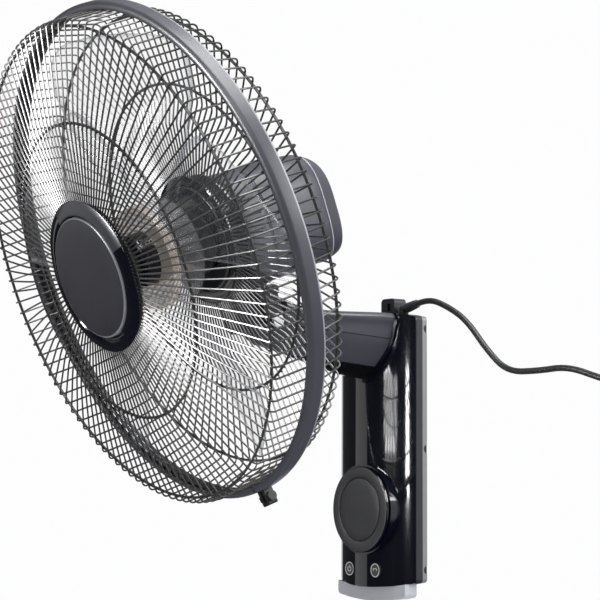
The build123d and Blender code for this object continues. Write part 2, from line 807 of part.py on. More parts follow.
# Steel box tube: its flange is screwed through the tray to the plate, its knuckle carries the tilt bolt.
beam_start = tray_inside + beam_flange
beam_middle = (0, beam_bottom + beam_height / 2)
beam_length = tilt_axis_depth - knuckle_radius / 2 - beam_start
flange_middle = ((0, (beam_flange_bottom + beam_flange_top) / 2),)
with BuildPart() as arm_beam:
    extrude(box_sketch(wall_plane(tray_inside), 2 * beam_flange_half, beam_flange_top - beam_flange_bottom,
                       flange_middle), amount=beam_flange)
    extrude(box_sketch(wall_plane(beam_start), beam_width, beam_height, (beam_middle,)), amount=beam_length)
    extrude(box_sketch(wall_plane(beam_start), beam_width - 2 * beam_wall, beam_height - 2 * beam_wall,
                       (beam_middle,)), amount=beam_length, mode=Mode.SUBTRACT)
    with Locations(tilt_place):
        Cylinder(knuckle_radius, 2 * (nose_boss_half - arm_wall - face_gap), rotation=(0, 90, 0))
        Cylinder(tilt_bolt_radius + screw_clearance, 4 * nose_boss_half, rotation=(0, 90, 0),
                 mode=Mode.SUBTRACT)
    extrude(round_sketch(wall_plane(tray_inside), beam_screw_radius + screw_clearance, beam_screw_places),
            amount=beam_flange, mode=Mode.SUBTRACT)
    extrude(round_sketch(Plane.XY.offset(beam_bottom), arm_screw_radius + screw_clearance, beam_front_places),
            amount=beam_wall, mode=Mode.SUBTRACT)

with BuildPart() as beam_screws:
    extrude(round_sketch(wall_plane(beam_start), beam_screw_head_radius, beam_screw_places),
            amount=beam_screw_head)
    extrude(round_sketch(wall_plane(plate_floor + loose_gap), beam_screw_radius, beam_screw_places),
            amount=beam_start - plate_floor - loose_gap)

# ================= Neck =================

cheek_inner = nose_boss_half + cheek_gap
cheek_outer = cheek_inner + cheek_thickness
cheek_middle = (cheek_inner + cheek_outer) / 2
bridge_top = bridge_bottom + bridge_thickness
with BuildPart(neck_plane) as neck:
    with Locations((0, 0, bridge_bottom)):
        Box(2 * cheek_outer, 2 * bridge_half_depth, bridge_thickness,
            align=(Align.CENTER, Align.CENTER, Align.MIN))
    fillet(neck.edges().filter_by(Axis(neck_plane.origin, neck_plane.z_dir)), bridge_corner)
    with Locations((-cheek_middle, 0, 0), (cheek_middle, 0, 0)):
        Box(cheek_thickness, 2 * cheek_radius, bridge_bottom + bridge_thickness / 2,
            align=(Align.CENTER, Align.CENTER, Align.MIN))
        Cylinder(cheek_radius, cheek_thickness, rotation=(0, 90, 0))
    Cylinder(tilt_bolt_radius + screw_clearance, 4 * cheek_outer, rotation=(0, 90, 0), mode=Mode.SUBTRACT)
    with Locations((0, 0, bridge_bottom)):
        Cylinder(pan_pin_radius + screw_clearance, 4 * bridge_thickness, mode=Mode.SUBTRACT)

with BuildPart() as tilt_bolt:
    with Locations(tilt_place * Pos(cheek_outer, 0, 0) * Rot(0, 90, 0)):
        Cylinder(tilt_head_radius, tilt_head, align=(Align.CENTER, Align.CENTER, Align.MIN))
        Cylinder(tilt_bolt_radius, 2 * cheek_outer + tilt_nut + loose_gap,
                 align=(Align.CENTER, Align.CENTER, Align.MAX))
    fillet(tilt_bolt.faces().sort_by(Axis.X)[-1].edges(), tilt_head / 3)

with BuildPart() as tilt_nut_part:
    with BuildSketch(Plane(tilt_place * Pos(-cheek_outer, 0, 0) * Rot(0, -90, 0))):
        RegularPolygon(tilt_head_radius, 6)
        Circle(tilt_bolt_radius + screw_clearance, mode=Mode.SUBTRACT)
    extrude(amount=tilt_nut)

with BuildPart(neck_plane) as pan_pin:
    with Locations((0, 0, bridge_bottom)):
        Cylinder(pan_pin_radius, lever_bottom + lever_thickness - bridge_bottom,
                 align=(Align.CENTER, Align.CENTER, Align.MIN))
    with BuildSketch(neck_plane.offset(lever_bottom)):
        Circle(lever_root_radius)
        with Locations((lever_length, 0)):
            Circle(lever_tip_radius)
        make_hull()
        with Locations((lever_length, 0)):
            Circle(link_pin_radius + screw_clearance, mode=Mode.SUBTRACT)
    extrude(amount=lever_thickness)

with BuildPart() as pan_washer:
    extrude(ring_sketch(neck_plane.offset(bridge_top), washer_radius, pan_pin_radius + face_gap),
            amount=washer_thickness)

with BuildPart() as pin_clip:
    extrude(ring_sketch(neck_plane.offset(pan_boss_top + face_gap), clip_radius,
                        pan_pin_radius + screw_clearance), amount=clip_thickness)

# ================= Motor =================

shell_middle = (shell_top + shell_bottom) / 2
shell_height = shell_top - shell_bottom
bearing_places = (front_bearing_front, rear_bearing_front)
motor_bolt_places = [(x, y) for x in (-motor_bolt_place, motor_bolt_place)
                     for y in (-motor_bolt_place, motor_bolt_place)]
shell_inside = shell_front - shell_front_wall
boss_back = front_bearing_front - bearing_width - face_gap
shell_floor = neck_rise + shell_bottom       # underside of the shell above the tilt axis
with BuildPart(ring_plane) as motor_front_shell:
    with BuildSketch(ring_plane.offset(shell_rear)):
        with Locations((0, shell_middle)):
            RectangleRounded(2 * shell_half_width, shell_height, shell_corner)
    extrude(amount=shell_front - shell_rear)
    fillet(motor_front_shell.faces().sort_by(blade_axis)[-1].edges(), shell_edge)
    with BuildSketch(ring_plane.offset(shell_rear)):
        with Locations((0, shell_middle)):
            RectangleRounded(2 * (shell_half_width - shell_wall), shell_height - 2 * shell_wall,
                             shell_corner - shell_wall)
    extrude(amount=shell_inside - shell_rear, mode=Mode.SUBTRACT)
    extrude(round_sketch(ring_plane.offset(shell_front), front_boss_radius),
            amount=front_boss_front - shell_front)
    extrude(round_sketch(ring_plane.offset(boss_back), bearing_boss_radius), amount=shell_inside - boss_back)
    extrude(round_sketch(ring_plane.offset(boss_back), bearing_outer + screw_clearance),
            amount=front_bearing_front - boss_back, mode=Mode.SUBTRACT)
    extrude(round_sketch(ring_plane.offset(boss_back), shaft_hole_radius),
            amount=front_boss_front - boss_back, mode=Mode.SUBTRACT)
    extrude(round_sketch(ring_plane.offset(stator_front), motor_post_radius, motor_bolt_places),
            amount=shell_inside - stator_front)
    extrude(round_sketch(ring_plane.offset(stator_front), motor_bolt_radius + screw_clearance,
                         motor_bolt_places), amount=motor_bolt_grip, mode=Mode.SUBTRACT)
    extrude(round_sketch(neck_plane.offset(shell_floor), pan_boss_radius), amount=pan_boss_top - shell_floor)
    extrude(round_sketch(neck_plane.offset(shell_floor), pan_pin_radius + screw_clearance),
            amount=neck_rise / 2, mode=Mode.SUBTRACT)
    vent_heights = [vent_height + vent_pitch * (step - (vent_count - 1) / 2) for step in range(vent_count)]
    with Locations(*[(0, y, (shell_front + shell_rear) / 2) for y in vent_heights]):
        Box(4 * shell_half_width, vent_width, vent_length, mode=Mode.SUBTRACT)


def rounded_section(depth_behind, half, top, bottom):
    """Soft rounded square behind the shell, drawn on the guard's plane turned backward."""
    middle = (top - bottom) / 2
    tall = (top + bottom) / 2
    points = []
    for step in range(16):
        angle = 2 * pi * step / 16
        across = abs(cos(angle))**0.62
        along = abs(sin(angle))**0.62
        points.append((half * across * (1 if cos(angle) > 0 else -1),
                       middle + tall * along * (1 if sin(angle) > 0 else -1)))
    with BuildSketch(ring_plane.offset(shell_rear - depth_behind)) as outline:
        with BuildLine():
            Spline(*points, periodic=True)
        make_face()
    return outline.sketch


def rear_cover_solid(inset):
    """Dome of the rear cover, smaller by the inset at its sides and at its end."""
    shift = [0] + [inset] * (len(rear_cover_stations) - 1)
    with BuildPart() as dome:
        loft([rounded_section(behind - back, half - inset, top - inset, bottom - inset)
              for (behind, half, top, bottom), back in zip(rear_cover_stations, shift)], ruled=True)
    return dome.part


with BuildPart() as motor_rear_cover:
    add(rear_cover_solid(0))
    add(rear_cover_solid(rear_cover_wall), mode=Mode.SUBTRACT)

with BuildPart() as bearings:
    for front in bearing_places:
        extrude(ring_sketch(ring_plane.offset(front - bearing_width), bearing_outer,
                            shaft_radius + screw_clearance / 2), amount=bearing_width)

with BuildPart() as stator:
    with BuildSketch(ring_plane.offset(stator_back)):
        RectangleRounded(stator_side, stator_side, stator_corner)
        Circle(stator_bore, mode=Mode.SUBTRACT)
        with Locations(*motor_bolt_places):
            Circle(motor_bolt_radius + screw_clearance, mode=Mode.SUBTRACT)
    extrude(amount=stator_front - stator_back)

with BuildPart() as windings:
    for start in (stator_front, stator_back - winding_length):
        extrude(ring_sketch(ring_plane.offset(start), winding_outer, winding_inner), amount=winding_length)
    fillet(windings.edges().filter_by(GeomType.CIRCLE), winding_length / 5)

frame_back = frame_front - frame_thickness
with BuildPart() as motor_frame:
    with BuildSketch(ring_plane.offset(frame_back)):
        RectangleRounded(stator_side, stator_side, stator_corner)
    extrude(amount=frame_thickness)
    extrude(round_sketch(ring_plane.offset(frame_front), motor_post_radius, motor_bolt_places),
            amount=stator_back - frame_front)
    extrude(round_sketch(ring_plane.offset(frame_front), bearing_boss_radius),
            amount=rear_bearing_front - frame_front)
    extrude(round_sketch(ring_plane.offset(rear_bearing_front - bearing_width),
                         bearing_outer + screw_clearance), amount=bearing_width, mode=Mode.SUBTRACT)
    extrude(round_sketch(ring_plane.offset(frame_back), shaft_hole_radius),
            amount=frame_thickness + bearing_width, mode=Mode.SUBTRACT)
    extrude(round_sketch(ring_plane.offset(frame_back), motor_bolt_radius + screw_clearance,
                         motor_bolt_places), amount=stator_back - frame_back, mode=Mode.SUBTRACT)

with BuildPart() as motor_bolts:
    extrude(round_sketch(ring_plane.offset(frame_back - motor_bolt_head), motor_bolt_head_radius,
                         motor_bolt_places), amount=motor_bolt_head)
    extrude(round_sketch(ring_plane.offset(frame_back), motor_bolt_radius, motor_bolt_places),
            amount=stator_front + motor_bolt_grip - loose_gap - frame_back)

gear_case_back = frame_back - gear_case_length
crank_place = (crank_x, crank_behind_pin)
case_middle = ((gear_case_left + gear_case_right) / 2, (gear_case_bottom + gear_case_top) / 2)
with BuildPart() as gear_case:
    extrude(box_sketch(ring_plane.offset(gear_case_back), gear_case_right - gear_case_left,
                       gear_case_top - gear_case_bottom, (case_middle,)), amount=gear_case_length)
    fillet(gear_case.edges().filter_by(blade_axis), arm_top_corner)
    extrude(round_sketch(ring_plane.offset(shaft_back - face_gap), shaft_radius + screw_clearance),
            amount=frame_back - shaft_back + face_gap, mode=Mode.SUBTRACT)
    extrude(round_sketch(pan_plane.offset(gear_case_bottom), crank_shaft_radius + screw_clearance,
                         (crank_place,)), amount=crank_shaft_length + face_gap, mode=Mode.SUBTRACT)

# ================= Oscillation drive =================

crank_bottom = lever_bottom - neck_rise      # below the shaft, level with the lever
crank_top = crank_bottom + lever_thickness
hub_top = gear_case_bottom - crank_case_gap
crank_pin = (crank_x + crank_throw, crank_behind_pin)
with BuildPart() as crank:
    extrude(round_sketch(pan_plane.offset(crank_bottom), crank_radius, (crank_place,)), amount=lever_thickness)
    extrude(round_sketch(pan_plane.offset(crank_top), crank_hub_radius, (crank_place,)),
            amount=hub_top - crank_top)
    extrude(round_sketch(pan_plane.offset(hub_top), crank_shaft_radius, (crank_place,)),
            amount=crank_shaft_length + crank_case_gap - face_gap)
    extrude(round_sketch(pan_plane.offset(crank_bottom), link_pin_radius + screw_clearance, (crank_pin,)),
            amount=lever_thickness, mode=Mode.SUBTRACT)

# The link runs just below the lever and the crank; its far eye lies under the hole of the crank.
turn = radians(-pan_left)
far_eye = (crank_pin[0] * cos(turn) - crank_pin[1] * sin(turn), crank_pin[0] * sin(turn) + crank_pin[1] * cos(turn))
link_bottom = lever_bottom - face_gap - link_thickness
with BuildPart() as link:
    with BuildSketch(neck_plane.offset(link_bottom)):
        with Locations((lever_length, 0), far_eye):
            Circle(link_radius)
        make_hull()
        with Locations(far_eye):
            Circle(link_pin_radius + screw_clearance, mode=Mode.SUBTRACT)
    extrude(amount=link_thickness)
    extrude(round_sketch(neck_plane.offset(link_bottom), link_pin_radius, ((lever_length, 0),)),
            amount=link_thickness + lever_thickness)

# ================= Guard =================

with BuildPart() as guard_ring:
    with BuildSketch(axial_plane):
        with BuildLine():
            Polyline((ring_inner, ring_half_depth), (ring_outer, ring_half_depth),
                     (ring_outer, -ring_half_depth), (ring_inner, -ring_half_depth),
                     (ring_inner, -rim_offset - rim_wire - face_gap),
                     (ring_outer - ring_skin, -rim_offset - rim_wire - face_gap),
                     (ring_outer - ring_skin, rim_offset + rim_wire + face_gap),
                     (ring_inner, rim_offset + rim_wire + face_gap), close=True)
        make_face()
    revolve(axis=blade_axis)
    lug_middle = ring_outer + clamp_lug_length / 2 - ring_skin / 2
    lug_step = (clamp_opening + clamp_lug_thickness) / 2
    extrude(box_sketch(clamp_plane.offset(-clamp_lug_half_depth), clamp_lug_length + ring_skin,
                       clamp_lug_thickness, ((lug_middle, -lug_step), (lug_middle, lug_step))),
            amount=2 * clamp_lug_half_depth)
    extrude(box_sketch(clamp_plane.offset(-ring_half_depth), 4 * clamp_lug_length, clamp_opening,
                       ((ring_outer, 0),)), amount=2 * ring_half_depth, mode=Mode.SUBTRACT)
    bolt_place = clamp_plane.location * Pos(ring_outer + clamp_lug_length / 2, 0, 0) * Rot(90, 0, 0)
    with Locations(bolt_place):
        Cylinder(clamp_bolt_radius + screw_clearance, 8 * clamp_opening, mode=Mode.SUBTRACT)

lug_outside = clamp_opening / 2 + clamp_lug_thickness
with BuildPart() as ring_clamp:
    with Locations(bolt_place):
        Cylinder(clamp_bolt_radius, 2 * (lug_outside + clamp_head))
    with BuildSketch(Plane(bolt_place).offset(lug_outside)):
        RegularPolygon(clamp_head_radius, 6)
    extrude(amount=clamp_head)
    with BuildSketch(Plane(bolt_place).offset(-lug_outside - clamp_head)):
        Circle(clamp_head_radius)
    extrude(amount=clamp_head)

wire_start = rim_radius - rim_wire - wire_radius - face_gap / 2
front_wire_points = ((wire_start, rim_offset), (shoulder_radius, shoulder_front), (knee_radius, knee_front),
                     (front_wire_end, front_wire_end_front))
rear_wire_points = ((wire_start, -rim_offset), (rear_shoulder_radius, -rear_shoulder_back),
                    (rear_knee_radius, -rear_knee_back), (rear_step_radius, -rear_step_back),
                    (rear_wire_end, -rear_step_back))


def hoop_place(points, radius, side):
    """Front coordinate of a hoop that lies against the inner side of the wires at a radius."""
    for (outer, far), (inner, near) in zip(points, points[1:]):
        if inner <= radius < outer:
            slope = (near - far) / (outer - inner)
            on_wire = far + slope * (outer - radius)
            return on_wire - side * (wire_radius + hoop_wire + face_gap / 2) * sqrt(1 + slope**2)
    return near


with BuildPart(ring_plane) as front_guard:
    with PolarLocations(0, front_wire_count):
        add(guard_wire(front_wire_points, [shoulder_bend, knee_bend]))
    with Locations((0, 0, rim_offset)):
        Torus(rim_radius, rim_wire)
    for hoop in front_hoops:
        with Locations((0, 0, hoop_place(front_wire_points, hoop, 1))):
            Torus(hoop, hoop_wire)

with BuildPart(ring_plane) as rear_guard:
    with PolarLocations(0, rear_wire_count):
        add(guard_wire(rear_wire_points, [rear_shoulder_bend, rear_knee_bend, rear_step_bend]))
    with Locations((0, 0, -rim_offset)):
        Torus(rim_radius, rim_wire)
    for hoop in rear_hoops:
        with Locations((0, 0, hoop_place(rear_wire_points, hoop, -1))):
            Torus(hoop, hoop_wire)
    with Locations((0, 0, plate_back)):
        Cylinder(rear_wire_end - face_gap, plate_front - plate_back,
                 align=(Align.CENTER, Align.CENTER, Align.MIN))
        Cylinder(plate_inner, 4 * (plate_front - plate_back), mode=Mode.SUBTRACT)

with BuildPart(ring_plane) as guard_nut:
    with Locations((0, 0, plate_front)):
        Cylinder(guard_nut_radius, guard_nut_length, align=(Align.CENTER, Align.CENTER, Align.MIN))
        Cylinder(guard_nut_flange_radius, guard_nut_flange, align=(Align.CENTER, Align.CENTER, Align.MIN))
    Cylinder(guard_nut_bore, 8 * guard_nut_length, mode=Mode.SUBTRACT)

# ================= Badge =================

badge_back = front_wire_end_front + wire_radius + 2 * face_gap
lip_front = hoop_place(front_wire_points, front_hoops[-1], 1) - hoop_wire - face_gap
badge_floor = badge_rim_front - badge_recess
badge_end = lip_front - badge_recess
with BuildPart() as badge_base:
    with BuildSketch(axial_plane):
        with BuildLine():
            Polyline((0, badge_end), (badge_lip_radius, badge_end), (badge_lip_radius, lip_front),
                     (badge_plug_radius, lip_front), (badge_plug_radius, badge_back),
                     (badge_radius, badge_back), (badge_radius, badge_back + badge_disc_bevel),
                     (badge_plug_radius + badge_disc_bevel / 2, badge_rim_front),
                     (badge_plug_radius - badge_disc_bevel, badge_rim_front),
                     (badge_plug_radius - badge_recess - badge_disc_bevel, badge_floor), (0, badge_floor),
                     close=True)
        make_face()
    revolve(axis=blade_axis)

with BuildPart(ring_plane) as badge_disc:
    with Locations((0, 0, badge_floor)):
        Cylinder(badge_disc_radius, badge_disc_thickness, align=(Align.CENTER, Align.CENTER, Align.MIN))
    chamfer(badge_disc.faces().sort_by(blade_axis)[-1].edges(), badge_disc_bevel)

# ================= Blades, hub and shaft =================


def blade_section(radius, chord, pitch):
    """Thin curved strip across the blade, pitched so that its trailing edge is in front."""
    along = (cos(radians(pitch)), sin(radians(pitch)))
    out = (-along[1], along[0])

    def place(share, lift):
        return (chord / 2 * share * along[0] + lift * out[0], chord / 2 * share * along[1] + lift * out[1])

    rise = blade_camber * chord
    half = blade_thickness / 2
    with BuildSketch(Plane(origin=(radius, 0, 0), x_dir=(0, 1, 0), z_dir=(1, 0, 0))) as outline:
        with BuildLine():
            ThreePointArc(place(-1, half), place(0, rise + half), place(1, half))
            Line(place(1, half), place(1, -half))
            ThreePointArc(place(1, -half), place(0, rise - half), place(-1, -half))
            Line(place(-1, -half), place(-1, half))
        make_face()
    return outline.sketch


with BuildPart() as one_blade:
    loft([blade_section(radius, chord, pitch) for radius, chord, pitch in blade_sections])
    Cylinder(blade_tip_radius, 4 * drum_outer, mode=Mode.INTERSECT)

web_front = core_front - web_thickness
with BuildPart(ring_plane) as blade:
    with Locations((0, 0, drum_back)):
        Cylinder(drum_outer, drum_front - drum_back, align=(Align.CENTER, Align.CENTER, Align.MIN))
    with PolarLocations(0, blade_count, start_angle=blade_phase):
        add(one_blade.part)
    with Locations((0, 0, drum_back)):
        Cylinder(drum_inner, web_front - drum_back, align=(Align.CENTER, Align.CENTER, Align.MIN),
                 mode=Mode.SUBTRACT)
    with Locations((0, 0, core_front)):
        Cylinder(drum_inner, 2 * drum_front, align=(Align.CENTER, Align.CENTER, Align.MIN),
                 mode=Mode.SUBTRACT)
    Cylinder(core_radius + screw_clearance, 4 * drum_front, mode=Mode.SUBTRACT)

with BuildPart(ring_plane) as hub_core:
    with Locations((0, 0, core_back)):
        Cylinder(core_radius, core_front - core_back, align=(Align.CENTER, Align.CENTER, Align.MIN))
    Cylinder(shaft_radius + screw_clearance, 8 * core_front, mode=Mode.SUBTRACT)
    with Locations((0, 0, drive_pin_place + drive_pin_radius + face_gap)):
        Box(2 * (drive_pin_half_length + loose_gap), 2 * (drive_pin_radius + face_gap), core_front - core_back,
            align=(Align.CENTER, Align.CENTER, Align.MAX), mode=Mode.SUBTRACT)

with BuildPart(ring_plane) as drive_pin:
    with Locations((0, 0, drive_pin_place)):
        Cylinder(drive_pin_radius, 2 * drive_pin_half_length, rotation=(0, 90, 0))

with BuildPart(ring_plane) as motor_shaft:
    with Locations((0, 0, shaft_back)):
        Cylinder(shaft_radius, shaft_front - shaft_back, align=(Align.CENTER, Align.CENTER, Align.MIN))
    with Locations((0, 0, drive_pin_place)):
        Cylinder(drive_pin_radius + screw_clearance, 4 * shaft_radius, rotation=(0, 90, 0), mode=Mode.SUBTRACT)

with BuildPart(ring_plane) as spinner_nut:
    with Locations((0, 0, core_front)):
        Cylinder(spinner_radius, spinner_length, align=(Align.CENTER, Align.CENTER, Align.MIN))
    fillet(spinner_nut.faces().sort_by(blade_axis)[-1].edges(), spinner_length / 3)
    with Locations((0, 0, core_front)):
        Cylinder(shaft_radius + screw_clearance, shaft_front - core_front + face_gap,
                 align=(Align.CENTER, Align.CENTER, Align.MIN), mode=Mode.SUBTRACT)

with BuildPart(ring_plane) as rotor:
    with Locations((0, 0, stator_back - rotor_overhang)):
        Cylinder(rotor_radius, stator_front - stator_back + 2 * rotor_overhang,
                 align=(Align.CENTER, Align.CENTER, Align.MIN))
        Cylinder(shaft_radius + screw_clearance / 2, 8 * winding_length, mode=Mode.SUBTRACT)

# ================= Cord =================

cord_radius = cord_diameter / 2
sleeve_place = Pos(gland_x, -tray_front, gland_top) * Rot(0, 90 - sleeve_angle, 0)
with BuildPart() as cord_gland:
    with Locations((gland_x, -tray_front, gland_top)):
        Cylinder(gland_radius, gland_foot[0], align=(Align.CENTER, Align.CENTER, Align.MAX))
        Sphere(gland_radius)
    with Locations((gland_x, -tray_front, gland_top - gland_foot[0] + gland_foot[2])):
        Box(*gland_foot)
    with Locations(sleeve_place):
        Cone(sleeve_root_radius, sleeve_end_radius, sleeve_length,
             align=(Align.CENTER, Align.CENTER, Align.MIN))

cord_exit = Vector(gland_x + sleeve_length * cos(radians(sleeve_angle)), -tray_front,
                   gland_top + sleeve_length * sin(radians(sleeve_angle)))
exit_run = 16.0
cord_points = (
    (cord_exit.X, cord_exit.Y, cord_exit.Z),
    (cord_exit.X + exit_run * cos(radians(sleeve_angle)), cord_exit.Y,
     cord_exit.Z + exit_run * sin(radians(sleeve_angle))),
    (90, -9, 129),
    (117, -cord_plane_depth, 114.5),
    (144, -cord_plane_depth, 86),
    (170, -cord_plane_depth, 66),
    (208, -cord_plane_depth, 65.5),
    (244, -cord_plane_depth, 68),
    (279, -5.5, 57),
    (305, -coil_depth, coil_start_z),
    (coil_start_x - cord_diameter, -coil_depth, coil_start_z),
)
bends = cord_radii(cord_points)
print("cord bends", [round(bend, 1) for bend in bends])
with BuildPart() as cord:
    with BuildLine() as cord_line:
        FilletPolyline(*cord_points, radius=bends)
    with BuildSketch(Plane(origin=cord_line.line @ 0, z_dir=cord_line.line % 0)):
        Circle(cord_radius)
    sweep(path=cord_line.line)
cord_length = cord_line.wires()[0].length
print("cord length", round(cord_length, 1), "volume ratio",
      round(cord.part.volume / (cord_length * pi * cord_radius**2), 5))

# The put-away length: half circles that shrink, step one layer into the room, and grow again.
half_turn_count = round((coil_outer_radius - coil_inner_radius) / coil_half_turn_step)
shrinking = [coil_outer_radius - coil_half_turn_step * step for step in range(half_turn_count + 1)]
growing = [coil_inner_radius + coil_half_turn_step * step for step in range(1, half_turn_count)]
half_turns = shrinking + growing
with BuildPart() as cord_coil:
    with BuildLine() as coil_line:
        corner = Vector(coil_start_x, -coil_depth, coil_start_z)
        Line(corner - Vector(cord_diameter, 0, 0), corner)
        for number, radius in enumerate(half_turns):
            way = 1 if number % 2 == 0 else -1
            layer_step = coil_layer_step if number == half_turn_count else 0
            end = corner + Vector(0, -layer_step, -2 * way * radius)
            middle = (corner + end) / 2
            ThreePointArc(corner, middle + Vector(way * (end - corner).length / 2, 0, 0), end)
            corner = end
        Line(corner, corner + Vector(coil_tail, 0, 0))
    with BuildSketch(Plane(origin=coil_line.line @ 0, z_dir=coil_line.line % 0)):
        Circle(cord_radius)
    sweep(path=coil_line.line)
coil_wire = coil_line.wires()[0]
coil_length = coil_wire.length
print("coil length", round(coil_length, 1), "volume ratio",
      round(cord_coil.part.volume / (coil_length * pi * cord_radius**2), 5))
sample_count = round(coil_length / 2)
samples = [tuple(coil_wire @ (number / sample_count)) for number in range(sample_count + 1)]
apart = round(3 * cord_diameter / (coil_length / sample_count))
least = min(dist(samples[first], samples[second]) for first in range(len(samples))
            for second in range(first + apart, len(samples)))
print("coil least gap to itself", round(least - cord_diameter, 3))

# The tie is a flat band round all the turns at the coil's right side.
coil_middle = coil_start_z - coil_outer_radius
tie_inner_left = coil_start_x + coil_inner_radius - cord_radius - tie_gap
tie_inner_right = coil_start_x + coil_outer_radius + cord_radius + tie_gap
tie_back = coil_depth - cord_radius - loose_gap / 2
tie_front = coil_depth + coil_layer_step + cord_radius + tie_gap
tie_plane = Plane.XY.offset(coil_middle - tie_width / 2)
tie_places = (((tie_inner_left + tie_inner_right) / 2, -(tie_back + tie_front) / 2),)
with BuildPart() as cord_tie:
    extrude(box_sketch(tie_plane, tie_inner_right - tie_inner_left + 2 * tie_thickness,
                       tie_front - tie_back + 2 * tie_thickness, tie_places), amount=tie_width)
    extrude(box_sketch(tie_plane, tie_inner_right - tie_inner_left, tie_front - tie_back, tie_places),
            amount=tie_width, mode=Mode.SUBTRACT)

plug_place = Pos(corner.X + coil_tail, corner.Y, corner.Z) * Rot(0, 90, 0)
with BuildPart(Plane(plug_place)) as plug:
    Cylinder(plug_neck_radius, plug_neck_length, align=(Align.CENTER, Align.CENTER, Align.MIN))
    with Locations((0, 0, plug_neck_length)):
        Box(plug_size[2], plug_size[1], plug_size[0], align=(Align.CENTER, Align.CENTER, Align.MIN))
    fillet(plug.edges().filter_by(Axis.X), plug_corner)
    with Locations((-plug_pin_spacing / 2, 0, plug_neck_length + plug_size[0]),
                   (plug_pin_spacing / 2, 0, plug_neck_length + plug_size[0])):
        Cylinder(plug_pin_radius, plug_pin_length, align=(Align.CENTER, Align.CENTER, Align.MIN))

# ================= Labels and files =================

pieces = {
    "wall_plate": wall_plate, "column_back": column_back, "column_front": column_front, "top_cap": top_cap,
    "column_screws": column_screws, "bottom_cap": bottom_cap, "hanging_lug": hanging_lug,
    "dial_bezel": dial_bezel, "dial": dial, "dial_shaft": dial_shaft, "rotary_switch": rotary_switch,
    "button_left": button_left, "button_right": button_right, "left_spring": left_spring, "right_spring": right_spring,
    "control_board": control_board, "tact_switches": tact_switches, "board_screws": board_screws,
    "capacitor": capacitor, "terminal_block": terminal_block, "arm_upper": arm_upper, "arm_lower": arm_lower,
    "arm_screws": arm_screws, "arm_collar": arm_collar, "arm_beam": arm_beam, "beam_screws": beam_screws,
    "neck": neck, "tilt_bolt": tilt_bolt, "tilt_nut": tilt_nut_part, "pan_pin": pan_pin,
    "pan_washer": pan_washer, "pin_clip": pin_clip, "motor_front_shell": motor_front_shell,
    "motor_rear_cover": motor_rear_cover, "bearings": bearings, "stator": stator, "windings": windings,
    "motor_frame": motor_frame, "motor_bolts": motor_bolts, "gear_case": gear_case, "crank": crank,
    "link": link, "guard_ring": guard_ring, "ring_clamp": ring_clamp, "front_guard": front_guard,
    "rear_guard": rear_guard, "guard_nut": guard_nut, "badge_base": badge_base, "badge_disc": badge_disc,
    "blade": blade, "hub_core": hub_core, "drive_pin": drive_pin, "motor_shaft": motor_shaft,
    "spinner_nut": spinner_nut, "rotor": rotor, "cord_gland": cord_gland, "cord": cord,
    "cord_coil": cord_coil, "cord_tie": cord_tie, "plug": plug,
}
for name, piece in pieces.items():
    piece.part.label = name
    export_step(piece.part, f"parts/{name}.step")
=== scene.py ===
# %% [markdown]
# # A wall mounted fan
# The fan hangs on a wall by a tall bowed column. An arm stands out from the column, and a neck at its end
# carries the motor, the round wire guard and five clear blades. The imported model gives every solid part
# its place, so this lesson starts by loading it. The parts whose shape is right stay and only get a finish.
# Thin wires, smooth covers and small details are made anew on top of them.

import json
from math import cos, pi, radians, sin, sqrt

import bmesh
import bpy
import numpy as np
from mathutils import Matrix, Vector


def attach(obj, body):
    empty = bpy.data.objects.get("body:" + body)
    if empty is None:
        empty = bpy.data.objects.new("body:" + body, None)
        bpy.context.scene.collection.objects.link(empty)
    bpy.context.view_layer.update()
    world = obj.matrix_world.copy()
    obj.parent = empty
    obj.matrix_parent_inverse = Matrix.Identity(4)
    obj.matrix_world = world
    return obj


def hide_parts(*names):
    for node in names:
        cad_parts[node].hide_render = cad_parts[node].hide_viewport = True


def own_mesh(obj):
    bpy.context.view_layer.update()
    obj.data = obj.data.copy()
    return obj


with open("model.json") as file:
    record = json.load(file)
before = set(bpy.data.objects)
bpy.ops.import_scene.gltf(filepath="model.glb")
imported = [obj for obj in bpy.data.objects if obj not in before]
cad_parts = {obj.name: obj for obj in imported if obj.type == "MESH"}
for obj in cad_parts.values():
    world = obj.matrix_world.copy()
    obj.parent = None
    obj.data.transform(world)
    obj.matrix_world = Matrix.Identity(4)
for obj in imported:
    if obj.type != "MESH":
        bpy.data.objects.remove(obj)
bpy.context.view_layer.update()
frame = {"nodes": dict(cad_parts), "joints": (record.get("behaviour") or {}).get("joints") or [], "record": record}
nodes = frame["nodes"]

# %% [markdown]
# Shader nodes are needed for the room, for the floor and for every finish. A node has properties of its
# own and input sockets, and each socket takes either a plain value or a link from another node. One
# function that does both keeps every tree below readable as a list of what goes into what.

# %% Tools for objects and shader nodes
def in_scene(piece):
    """Links an object into the scene and gives it back."""
    bpy.context.scene.collection.objects.link(piece)
    return piece


def fill(tree, node, inputs):
    """Gives a node's input sockets, by name or number, a value or a link, and gives the node back."""
    for place, value in inputs.items():
        if isinstance(value, bpy.types.NodeSocket):
            tree.links.new(value, node.inputs[place])
        else:
            node.inputs[place].default_value = value
    return node


def add_node(tree, kind, inputs=(), **properties):
    """New shader node with its own properties set and its inputs filled."""
    node = tree.nodes.new("ShaderNode" + kind)
    for name, value in properties.items():
        setattr(node, name, value)
    return fill(tree, node, dict(inputs))


def arithmetic(tree, operation, *operands, clamp=False):
    """Result of one Math node; each operand is a number or an output socket."""
    return add_node(tree, "Math", enumerate(operands), operation=operation, use_clamp=clamp).outputs[0]


def scaled(tree, value, factor, added, clamp=False):
    """A value times a factor, and something added to it."""
    return arithmetic(tree, "MULTIPLY_ADD", value, factor, added, clamp=clamp)


